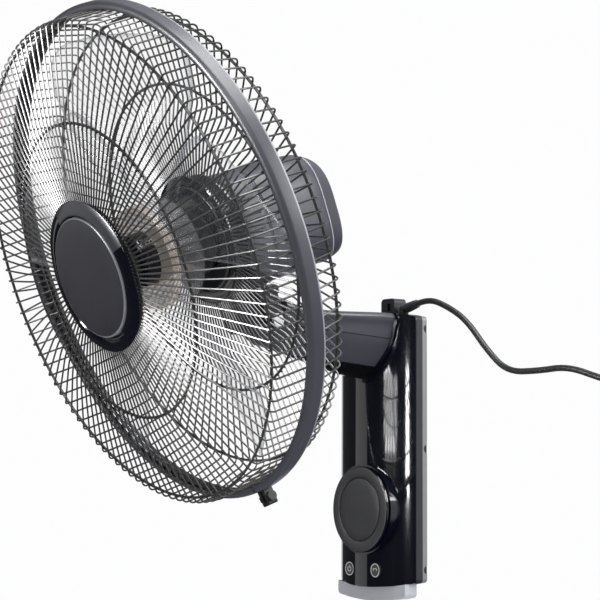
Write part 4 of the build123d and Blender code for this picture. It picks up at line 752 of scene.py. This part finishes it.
def rod(path, radius, sides=6):
    """Thin rod along a path of distance from the shaft and depth. At each point of the path a small circle
    lies across it, from the tangent's side direction and the direction round the shaft."""
    tangent = np.gradient(path, axis=0)
    tangent /= np.linalg.norm(tangent, axis=1, keepdims=True)
    aside, along = radius * np.cos(circle(sides)), radius * np.sin(circle(sides))
    return closed_tube(as_points(path[:, :1] - tangent[:, 1:] * aside, along,
                                 path[:, 1:] + tangent[:, :1] * aside))


print("rods ready")


# %% Discs and rings
def sweep(profile, centre, angle):
    """Grid of a profile of distance and depth, turned about an axis to each of several angles."""
    distance, depth = np.asarray(profile, float).T
    angle = angle[:, None]
    return as_points(centre[0] + distance * np.cos(angle), centre[1] + distance * np.sin(angle), depth)


def turned_disc(profile, steps=180, centre=(0, 0)):
    """Profile from the axis at the back to the axis at the front, turned about the axis. Both its ends are
    poles."""
    grid = sweep(profile[1:-1], centre, circle(steps)).transpose(1, 0, 2)
    return closed_tube(grid, [(*centre, profile[0][1]), (*centre, profile[-1][1])])


def turned_ring(profile, steps, centre=(0, 0), span=None):
    """Closed profile turned about an axis, wholly or over a span of two angles in degrees."""
    if span:
        return closed_tube(sweep(profile, centre, np.radians(np.linspace(*span, steps + 1))))
    grid = sweep(profile, centre, circle(steps))
    return outward(grid.reshape(-1, 3), grid_faces(*grid.shape[:2], True, True))


def wire_ring(distance, depth, radius, sides, steps):
    """Round wire bent to a ring about the shaft."""
    turn = circle(sides)
    section = np.stack([distance + radius * np.cos(turn), depth + radius * np.sin(turn)], axis=1)
    return turned_ring(section, steps)


print("discs ready")

# %% [markdown]
# ## Front guard
# On the real guard 124 plated wires run from a hidden rim wire over a tight shoulder, then in one long
# shallow dome to the badge. Three hoops inside hold them, and each crossing is a spot weld. Every wire is
# one thin rod of a few dozen faces, and the welds are tiny flattened beads that catch the light.

# %% Front wires
wire_radius, hoop_radius, rim_wire_radius, clearance = 0.85, 1.3, 1.9, 0.1
wire_to_hoop = wire_radius + clearance + hoop_radius
bead_reach = (1.625, 1.25, 0.9375)  # out, round the shaft and forward
bead_step = 1.2  # from the hoop toward the wire
rim_wire_distance, rim_wire_depth = 219.0, 2.3


def weld_bead(distance, depth):
    """Flattened bead: a ring of four points between two poles, stretched along the wire."""
    out, along, forward = bead_reach
    ring = as_points(distance + out * np.cos(circle(4)), along * np.sin(circle(4)), depth)
    return closed_tube(ring[None], [(distance, 0, depth - forward), (distance, 0, depth + forward)])


def guard_wires(name, node, path, count, hoops, inner_side, *more):
    """Piece of all the wires of one guard: equal rods, hoops with a weld at each crossing, and a rim wire.
    The inner side is -1 for a guard with its hoops behind the wires and +1 for one with them in front."""
    angles = circle(count)
    dome = path[np.argsort(path[:, 0])]
    parts = [turned_copies(rod(path, wire_radius), angles)]
    for distance in hoops:
        depth = np.interp(distance, *dome.T) + inner_side * wire_to_hoop
        parts += [wire_ring(distance, depth, hoop_radius, 6, 200),
                  turned_copies(weld_bead(distance, depth - inner_side * bead_step), angles)]
    rim_wire = wire_ring(rim_wire_distance, -inner_side * rim_wire_depth, rim_wire_radius, 8, 220)
    wires = lay_mesh(name, join(*parts, rim_wire, *more), "wire_chrome", hides=[node], smooth=50)
    print(name, "triangles:", sum(len(face.vertices) - 2 for face in wires.data.polygons))


front_path = rounded_path([(216.1, 2.3), (215.5, 41.0), (137.0, 57.4), (61.0, 64.2)], (5.0, 150.0), steps=4)
guard_wires("front_guard_wires", "front_guard", front_path, 124, (210.0, 131.0, 62.5), -1)

# %% [markdown]
# ## Rear guard
# The rear wires drop steeply over their shoulder to a flat dome, then step forward where they meet the
# round plate on the motor. They are the same rods on another path, with 116 of them and two hoops.

# %% Rear wires
rear_path = rounded_path([(216.1, -2.3), (209.0, -34.5), (128.0, -47.5), (106.0, -40.6), (56.0, -40.6)],
                         (7.0, 12.0, 8.0), steps=3)
guard_wires("rear_guard_wires", "rear_guard", rear_path, 116, (202.9, 140.0), 1,
            wire_ring(47.9, -39.9, 1.0, 8, 140))
guard_plate = turned_ring([(14.2, -40.4), (22.0, -40.4), (23.5, -40.8), (46.5, -40.8), (50.5, -40.2),
                           (57.2, -39.6), (58.2, -40.4), (58.2, -41.8), (57.4, -42.5), (14.2, -42.5)], 140)
lay_mesh("rear_guard_plate", guard_plate, "gloss_black", hides=["rear_guard"])

# %% [markdown]
# ## Ring band
# A pressed steel band clamps the two rim wires together. Its section is a shallow channel: a flat outside,
# a wide round shoulder toward the front and a tight one at the back, where a thin light line is a painted
# highlight. It is painted satin navy and open at the bottom, where two lugs are drawn together by a bolt.

# %% Band and lugs
def band_section(outer, inner, front, back, skin, shoulder, edge):
    """Channel open toward the shaft: a wide arc at the front and a tight one at the back, two short lips,
    and the same inside."""
    wide, tight = np.linspace(0, pi / 2, 9), np.linspace(0, pi / 2, 5)
    front_arc = np.stack([outer - shoulder + shoulder * np.cos(wide),
                          front - shoulder + shoulder * np.sin(wide)], axis=1)
    back_arc = np.stack([outer - edge + edge * np.sin(tight), back + edge - edge * np.cos(tight)], axis=1)
    inside = np.array([(inner, front), (inner, front - skin), (outer - skin, front - skin),
                       (outer - skin, back + skin), (inner, back + skin), (inner, back),
                       (outer - edge - 0.35, back)])
    return np.concatenate([front_arc, inside, back_arc, [(outer, back + edge + 0.9)]])


def soft_box(low, high, corner):
    """Box with rounded upright edges: a rounded rectangle of points, four in each corner, carried up in
    four rings, with the end rings drawn in by half the corner."""
    low, high = np.asarray(low, float), np.asarray(high, float)
    turn = (np.repeat(np.arange(4), 4) + np.tile([1, 5, 9, 13], 4) / 14) * pi / 2
    unit = np.stack([np.cos(turn), np.sin(turn)], axis=1)
    middle, reach = (low + high)[:2] / 2, (high - low)[:2] / 2
    drawn = np.array([1, 0, 0, 1]) * corner / 2
    heights = np.array([low[2], low[2] + corner / 2, high[2] - corner / 2, high[2]])[:, None]
    flat = middle + np.sign(unit) * (reach - corner) + unit * (corner - drawn[:, None, None])
    return closed_tube(as_points(flat[..., 0], flat[..., 1], heights))


clamp_at = -75.0  # degrees round the shaft
half_gap = np.degrees(2.5 / 221)  # half of 5 mm along the band's middle
section = band_section(outer=223.5, inner=217.4, front=11.0, back=-4.9, skin=2.2, shoulder=5.0, edge=1.6)
band = turned_ring(section, 260, span=(clamp_at + half_gap, clamp_at + 360 - half_gap))
ring_band = lay_mesh("ring_band", band, "navy_metal", hides=["guard_ring"], finish=ring_paint)
# The tight back shoulder takes a painted highlight: its points are marked to turn lighter.
mark_painted_highlight(ring_band, from_axis(band), 222.9, 224.0, also=band[0][:, 2] < -2.9)
lugs = join(*(soft_box((221.4, aside - 1.5, -5.0), (237.5, aside + 1.5, 5.0), 1.4)
              for aside in (-4.0, 4.0)))
lay_mesh("clamp_lugs", turned_copies(lugs, [radians(clamp_at)]), "black_plastic", hides=["guard_ring"])
print("ring band faces:", len(ring_band.data.polygons), "lug points:", len(lugs[0]))

# %% [markdown]
# ## Blades
# Five clear blades grow out of one drum. Each is a thin sheet whose chord, pitch and camber change from
# root to tip: seen from the front it is a broad paddle with a rounded leading corner, and seen from its
# tip it is a flat arc. The sheet is one grid, span times chord, and the outline is drawn by letting both
# chord edges follow smooth curves of the span. Two such grids, front and back, share their rim.

# %% Shape of one blade
blade_span = np.array([44.5, 80.0, 120.0, 160.0, 195.0])
blade_chord = np.array([54.0, 84.0, 122.0, 146.0, 138.0])
blade_pitch = np.radians([38.0, 32.0, 27.0, 23.0, 21.0])
blade_phase = radians(81.5)
blade_camber, half_thickness = 0.06, 1.0
drum_radius = 46.0
rows, columns = 34, 22


def smooth_through(stations, values, where):
    """Smooth line through a few values: a cubic between neighbours whose slopes are the mean slopes of the
    two sides."""
    slope = np.gradient(values, stations)
    number = np.clip(np.searchsorted(stations, where, side="right") - 1, 0, len(stations) - 2)
    width = stations[number + 1] - stations[number]
    share = (where - stations[number]) / width
    return ((2 * share**3 - 3 * share**2 + 1) * values[number]
            + (share**3 - 2 * share**2 + share) * width * slope[number]
            + (-2 * share**3 + 3 * share**2) * values[number + 1]
            + (share**3 - share**2) * width * slope[number + 1])


share = np.linspace(-1, 1, columns)[None, :]
along = np.linspace(0, 1, rows)[:, None]
rim_marks = np.maximum(np.clip((np.abs(share) - 0.93) / 0.07, 0, 1), np.clip((along - 0.965) / 0.035, 0, 1))


def blade_sheet(lift):
    """Points of the blade's middle surface, moved by the lift along its thickness. A point at span r and
    chord share c from -1 to 1 lies at c times half the chord along the pitched chord line, and the camber
    raises it by a parabola. The tip's corners are rounded by pulling the span back near the chord ends."""
    root, tip = blade_span[[0, -1]]
    corner = 1 - 0.16 * np.clip((np.abs(share) - 0.45) / 0.55, 0, 1) ** 2.6
    reach = root + (tip - root) * along * (1 - (1 - corner) * along**2)
    chord = smooth_through(blade_span, blade_chord, reach)
    pitch = smooth_through(blade_span, blade_pitch, reach)
    rise = blade_camber * chord * (1 - share**2) + lift
    around = chord / 2 * share * np.cos(pitch) - rise * np.sin(pitch)
    forward = chord / 2 * share * np.sin(pitch) + rise * np.cos(pitch)
    distance = np.minimum(np.hypot(reach, around), tip)
    level = np.where(reach < drum_radius + 2, reach, np.sqrt(np.maximum(distance**2 - around**2, 1.0)))
    return as_points(np.minimum(level, reach), around, forward).reshape(-1, 3)


sheet = grid_faces(rows, columns)
number = np.arange(rows * columns).reshape(rows, columns)
border = np.concatenate([number[0], number[1:, -1], number[-1, -2::-1], number[-2:0:-1, 0]])
onward = np.roll(border, -1)
rim_faces = np.stack([onward, border, border + number.size, onward + number.size], axis=1)
blade = outward(np.concatenate([blade_sheet(half_thickness), blade_sheet(-half_thickness)]),
                np.concatenate([sheet, sheet[:, ::-1] + number.size, rim_faces]))
blade_angles = blade_phase + circle(5)
fan_blades = lay_mesh("fan_blades", turned_copies(blade, blade_angles), "clear_smoke", body="blade",
                      hides=["blade"])
mark_points(fan_blades, "rim", np.tile(rim_marks.ravel(), 2 * len(blade_angles)))
print("faces of one blade:", len(blade[1]))

# %% [markdown]
# The drum is a short round pot between the roots of the blades. Its front ring is milky and its skirt is
# clear, and ten thin ribs run out to the skirt from the hub inside.

# %% Drum that carries the blades
drum_front = turned_ring([(drum_radius, 9.0), (drum_radius, 15.9), (45.4, 16.5), (44.2, 16.5), (43.9, 14.2),
                          (24.0, 14.2), (24.0, 11.0), (43.9, 11.0), (43.9, 9.0)], 96)
drum_skirt = turned_ring([(44.2, -16.0), (45.6, -16.0), (drum_radius, -15.4), (drum_radius, 8.9),
                          (43.9, 8.9), (43.9, -14.0)], 96)
rib_out, rib_side = np.array([22.0, 44.0, 44.0, 22.0]), np.array([-0.7, -0.7, 0.7, 0.7])
rib = four_sided_tube(as_points(rib_out, rib_side, np.array([(-8.0, -12.0, -12.0, -8.0), (11.2,) * 4])))
ribs = turned_copies(rib, blade_phase + circle(10))
for name, part, film in (("drum_front", drum_front, milky_drum),
                         ("drum_skirt", join(drum_skirt, ribs), clear_drum)):
    lay_mesh(name, part, "clear_smoke", body="blade", hides=["blade"], finish=film)
print("drum points:", len(drum_front[0]) + len(drum_skirt[0]))

# %% [markdown]
# ## Motor's rear cover
# The cover is a deep moulded bowl. Across the shaft its section is a rounded square, which a superellipse
# gives: both coordinates are a cosine or sine raised to a power below one. Behind, the section shrinks
# along a smooth line until it closes in one pole. The step at the front edge is the joint to the front
# shell, with a fine shadow line and a raised lip.

# %% Rear cover
cover_depth = np.array([0.0, 30.0, 52.0, 68.0, 79.0, 87.0, 92.5, 96.5, 98.0])
cover_half = np.array([52.0, 51.8, 50.0, 46.0, 40.5, 33.6, 26.0, 17.0, 8.0])
cover_top = np.array([49.0, 48.8, 48.2, 45.4, 40.6, 34.0, 26.5, 17.0, 8.0])
cover_bottom = np.array([55.0, 55.0, 55.0, 54.8, 53.8, 50.6, 43.0, 29.0, 12.0])
cover_front, cover_length = -84.0, 98.6
lining_share, lining_depth = 0.955, 16  # of the wall inside the bowl's front edge


def rounded_square(half, top, bottom, depth, power=0.62, around=96):
    """Grid of one outline for each depth: half width times a powered cosine, and half height times a
    powered sine, about the middle between top and bottom."""
    turn = circle(around)
    across = np.sign(np.cos(turn)) * np.abs(np.cos(turn)) ** power
    upward = np.sign(np.sin(turn)) * np.abs(np.sin(turn)) ** power
    half, top, bottom, depth = (values[:, None] for values in (half, top, bottom, depth))
    return as_points(half * across, (top - bottom) / 2 + (top + bottom) / 2 * upward, depth)


edge_walk = [0.0, 0.35, 0.9, 1.5, 2.1, 2.6]
collar_walk = [66.2, 66.5, 67.0, 67.5, 67.9, 68.2]
walk = np.concatenate([edge_walk, np.linspace(4.0, 56.0, 16), np.linspace(58.0, 65.0, 6), collar_walk,
                       np.linspace(69.5, 97.4, 26)])
lip = np.interp(walk, edge_walk + collar_walk,
                [-0.9, -0.2, 0.0, 0.0, -0.5, 0.0, 0.0, 0.5, 0.75, 0.75, 0.3, -0.4])
lip = np.where(walk > 69, -0.4 * np.clip((80 - walk) / 10, 0, 1), lip)
outside = rounded_square(*(smooth_through(cover_depth, line, walk) + lip
                           for line in (cover_half, cover_top, cover_bottom)), cover_front - walk)
lining = outside[:1] * (lining_share, lining_share, 1)
cover = closed_tube(np.concatenate([lining - (0, 0, lining_depth), lining, outside]),
                    [(0, 0, cover_front - lining_depth), (0, -2, cover_front - cover_length)])
rear_cover = lay_mesh("motor_rear_bowl", cover, "navy_plastic", hides=["motor_rear_cover"], smooth=32,
                      finish=housing_paint)
# Painted highlight on the raised collar: its points turn lighter.
mark_painted_highlight(rear_cover, cover_front - cover[0][:, 2], 66.4, 67.7)
print("rear cover faces:", len(rear_cover.data.polygons))

# %% [markdown]
# The front of the motor has two forms. A round bell of black gloss faces the blades; it is hollow behind,
# which leaves room for the drive. Behind it the satin sides begin, with the same rounded square as the
# bowl. Each side has five air slots, drawn as dark boxes that stand for the shade inside them. The sides are
# carried along the shaft as one grid whose front rows turn inward in a small round.

# %% Front of the motor
bell = turned_disc([(0, -45.2), (46.0, -45.4), (49.6, -50.0), (52.8, -56.6), (53.2, -59.0), (54.6, -58.9),
                    (55.2, -57.6), (55.0, -56.2), (52.6, -51.5), (49.8, -47.2), (48.6, -44.6), (47.6, -43.3),
                    (46.4, -42.9), (30.0, -42.8), (0, -42.8)], 140)
lay_mesh("motor_bell", bell, "gloss_black", hides=["motor_front_shell"], smooth=45)
side_depth, side_grow = np.array([(-84.0, 0.0), (-83.4, 0.5), (-82.6, 0.6), (-70.0, 0.9), (-62.0, 0.9),
                                  (-60.0, 0.4), (-58.6, -0.8), (-57.8, -2.6), (-57.6, -5.0)]).T
sides = closed_tube(rounded_square(cover_half[0] + side_grow, cover_top[0] + side_grow,
                                   cover_bottom[0] + side_grow, side_depth))
lay_mesh("motor_sides", sides, "navy_plastic", hides=["motor_front_shell"], finish=housing_paint)
# Painted shade: dark boxes stand for the hollow inside each air slot.
air_slot_shade = [soft_box((across - 1.1, height - 1.3, -80.0), (across + 1.1, height + 1.3, -62.5), 0.9)
             for across in (-cover_half[0], cover_half[0]) for height in (-3.0, 4.0, 11.0, 18.0, 25.0)]
lay_mesh("air_slot_shade", join(*air_slot_shade), "black_plastic")
print("air slots:", len(air_slot_shade))

# %% [markdown]
# ## Badge
# The round badge in the middle of the guard is bare. A dark satin disc stands on a black gloss dish, and
# its chamfered edge shows as a thin light line, a painted highlight. On the right a sloped bevel lies between
# the disc and the rim: its upper run is a lighter satin that is a painted reflection of a softbox, and its
# lower run is black gloss. It stops short on both sides, and there the dish shows as a crescent. The painted
# highlight on the chamfer is an attribute of the mesh, so that only those points take the lighter colour.

# %% Badge pieces
dish = turned_disc([(0, 64.6), (60.0, 64.6), (60.0, 66.4), (67.0, 66.4), (67.4, 66.8), (67.4, 67.6),
                    (66.9, 68.1), (62.0, 69.2), (60.4, 69.4), (58.8, 69.3), (56.3, 66.9), (55.5, 66.8),
                    (0, 66.8)])
lay_mesh("badge_dish", dish, "gloss_black", hides=["badge_base"], smooth=30)
bevel_section = [(54.3, 67.0), (57.0, 67.1), (60.0, 69.45), (66.3, 68.35), (67.3, 67.9), (67.25, 68.4),
                 (66.6, 68.9), (60.5, 70.3), (55.2, 71.4), (54.5, 71.2)]
upper_run, lower_run = (turned_ring(bevel_section, steps, span=span)
                        for steps, span in ((70, (20.0, 117.0)), (60, (-62.0, 19.9))))
# Painted reflection: the upper run's lighter satin stands for a softbox mirrored in the gloss black bevel.
lay_mesh("badge_bevel", upper_run, "navy_plastic", smooth=30, finish=bevel_painted_reflection)
lay_mesh("badge_bevel_low", lower_run, "gloss_black", smooth=30)
disc = turned_disc([(0, 66.85), (52.9, 66.85), (53.3, 67.2), (53.3, 71.0), (52.9, 71.7), (52.3, 72.2),
                    (51.5, 72.3), (40.0, 72.3), (20.0, 72.3), (0, 72.3)])
badge_face = lay_mesh("badge_face", disc, "navy_plastic", hides=["badge_disc"], smooth=50, finish=satin_disc)
# Painted highlight on the disc's chamfer.
mark_painted_highlight(badge_face, from_axis(disc), 52.1, 53.4)
print("badge points:", sum(len(part[0]) for part in (dish, upper_run, lower_run, disc)))

# %% [markdown]
# ## Dial and buttons
# The dial is a flat cap with a fine groove near its edge, matte on its face and black gloss round its
# side. The two push buttons carry white printed rings with plain signs: one for power, one for the swing
# of the head. The printing is so thin that each sign is a flat ribbon a tenth of a millimetre high,
# carried along a short path.

# %% Dial
dial_centre = (0.0, -55.5)
dial_cap = turned_disc([(0, 33.15), (38.5, 33.15), (38.6, 33.3), (38.6, 35.6), (38.35, 35.9), (37.9, 36.0),
                        (34.0, 36.0), (29.9, 36.0), (29.6, 35.9), (29.4, 35.5), (29.0, 35.2), (28.6, 35.5),
                        (28.4, 35.9), (28.1, 36.0), (20.0, 36.0), (10.0, 36.0), (0, 36.0)],
                       centre=dial_centre)
dial_face = lay_mesh("dial_face", dial_cap, "dark_grey", body="dial", hides=["dial"], finish=matte_dial,
                     place=on_wall)
# Painted highlight on the dial's rim chamfer.
mark_painted_highlight(dial_face, from_axis(dial_cap, dial_centre), 38.2, 38.7)
dial_side = turned_ring([(38.65, 33.05), (39.4, 33.0), (39.6, 33.2), (39.6, 35.2), (39.45, 35.55),
                         (39.1, 35.75), (38.75, 35.7), (38.65, 35.5)], 180, dial_centre)
lay_mesh("dial_skirt", dial_side, "gloss_black", body="dial", hides=["dial"], place=on_wall)
print("dial points:", len(dial_cap[0]) + len(dial_side[0]))

# %% Printed signs on the buttons
button_height = -111.0
bow_radius, bow_behind, button_rise = 100.82, 71.02, 0.8
print_depths = (-0.05, 0.1, 0.1, -0.05)  # at the four corners of a ribbon, from the button's face


def on_button(across):
    """Place on a button's face, at the depth of the column's bow, which is a circle, and a little more."""
    depth = sqrt(bow_radius**2 - across**2) - bow_behind + button_rise
    print("button face at", round(depth, 2), "mm")
    return place_at(on_wall(np.array([across, button_height, depth])), *wall_directions)


def ribbon(path, width=0.6, closed=False):
    """Flat ribbon of four corners across, carried along a path in the plane of the wall. The side direction
    at each point is the tangent turned by a right angle."""
    path = np.asarray(path, float)
    tangent = np.roll(path, -1, 0) - np.roll(path, 1, 0) if closed else np.gradient(path, axis=0)
    tangent /= np.linalg.norm(tangent, axis=1, keepdims=True)
    side = np.stack([-tangent[:, 1], tangent[:, 0]], axis=1) * width / 2
    corners = np.stack([path + side, path + side, path - side, path - side], axis=1)
    return four_sided_tube(as_points(corners[..., 0], corners[..., 1], print_depths), closed)


def arc(radius, angles, upward=0.0):
    """Points on a circle of the sign at some angles."""
    return np.stack([radius * np.cos(angles), upward + radius * np.sin(angles)], axis=1)


printed_ring = ribbon(arc(5.85, circle(48)), 0.7, closed=True)
power_sign = join(printed_ring, ribbon(arc(2.3, np.radians(np.linspace(125, 415, 24)))),
                  ribbon([(0, 0.9), (0, 2.1), (0, 3.3)]))
lay_mesh("power_sign", power_sign, "white_plastic", body="button_left", smooth=30, place=on_button(-25.0))
swing = arc(4.2, np.radians(np.linspace(48, 132, 14)), -2.4)
swing_sign = [printed_ring, ribbon(swing)]
for tip, away in ((swing[0], -1.0), (swing[-1], 1.0)):
    for turn in (0.0, -1.25 * away):
        onward = np.array([away * cos(turn) - 0.35 * sin(turn), away * sin(turn) + 0.35 * cos(turn)])
        swing_sign.append(ribbon(np.linspace(tip, tip + 1.5 * onward, 3), 0.5))
lay_mesh("swing_sign", join(*swing_sign), "white_plastic", body="button_right", smooth=30,
         place=on_button(15.0))
print("ribbons of the swing sign:", len(swing_sign))

# %% [markdown]
# ## Small things round the column
# Three half-round notches in each side of the wall plate are filled with dark pieces that stand for the
# shade inside them, and the sleeve of the cord is ringed with ribs, so that it bends evenly. Both are small,
# but they are what the eye finds at an edge.

# %% Painted shade in the notches
notch_radius, notch_lift = 3.85, 0.05
notch_reach = np.array([[52.7], [53.5]])  # from the middle of the column, inside and outside
half_circle = np.linspace(0, pi, 17)
notches = [closed_tube(as_points(side * notch_reach, height + notch_radius * np.cos(half_circle),
                                 notch_lift + notch_radius * np.sin(half_circle)))
           for side in (-1.0, 1.0) for height in (-110.0, 0.0, 110.0)]
lay_mesh("notch_shade_fill", join(*notches), "black_plastic", body="base", smooth=30, place=on_wall)
print("notches filled:", len(notches))

# %% Ribs of the sleeve
along_x, along_z = cos(sleeve_slope), sin(sleeve_slope)
on_sleeve = place_at(np.array([0.036, -0.0128, 0.1283]), (0, 1, 0), (-along_z, 0, along_x),
                     (along_x, 0, along_z))
sleeve_radii, sleeve_length = (4.4, 3.5), 20
rib_section = np.array([(-0.2, -0.5), (0.2, -0.5), (0.45, -0.2), (0.45, 0.2), (0.2, 0.5), (-0.2, 0.5)])
sleeve_ribs = [turned_ring(rib_section + (np.interp(along, (0, sleeve_length), sleeve_radii), along), 36)
               for along in np.arange(6.6, 19.4, 1.8)]
lay_mesh("sleeve_ribs", join(*sleeve_ribs), "cord_black", body="base", place=on_sleeve)
print("ribs:", len(sleeve_ribs))

# %% [markdown]
# ## Springs of the buttons
# Each button is pushed against a small coil spring. A imported node can't change its shape, so the coil is
# copied, its doubled points are welded, and the copy rides on the base in place of the imported spring.

# %% Button springs
button_travel, same_point = 0.0012, 1e-6
for side in ("left", "right"):
    coil = in_scene(nodes[side + "_spring"].copy())
    coil.data = coil.data.copy()
    coil.name = side + "_spring_coil"
    welder = bmesh.new()
    welder.from_mesh(coil.data)
    bmesh.ops.remove_doubles(welder, verts=welder.verts, dist=same_point)
    welder.to_mesh(coil.data)
    welder.free()
    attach(coil, "base")
    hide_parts(side + "_spring")
    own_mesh(coil)
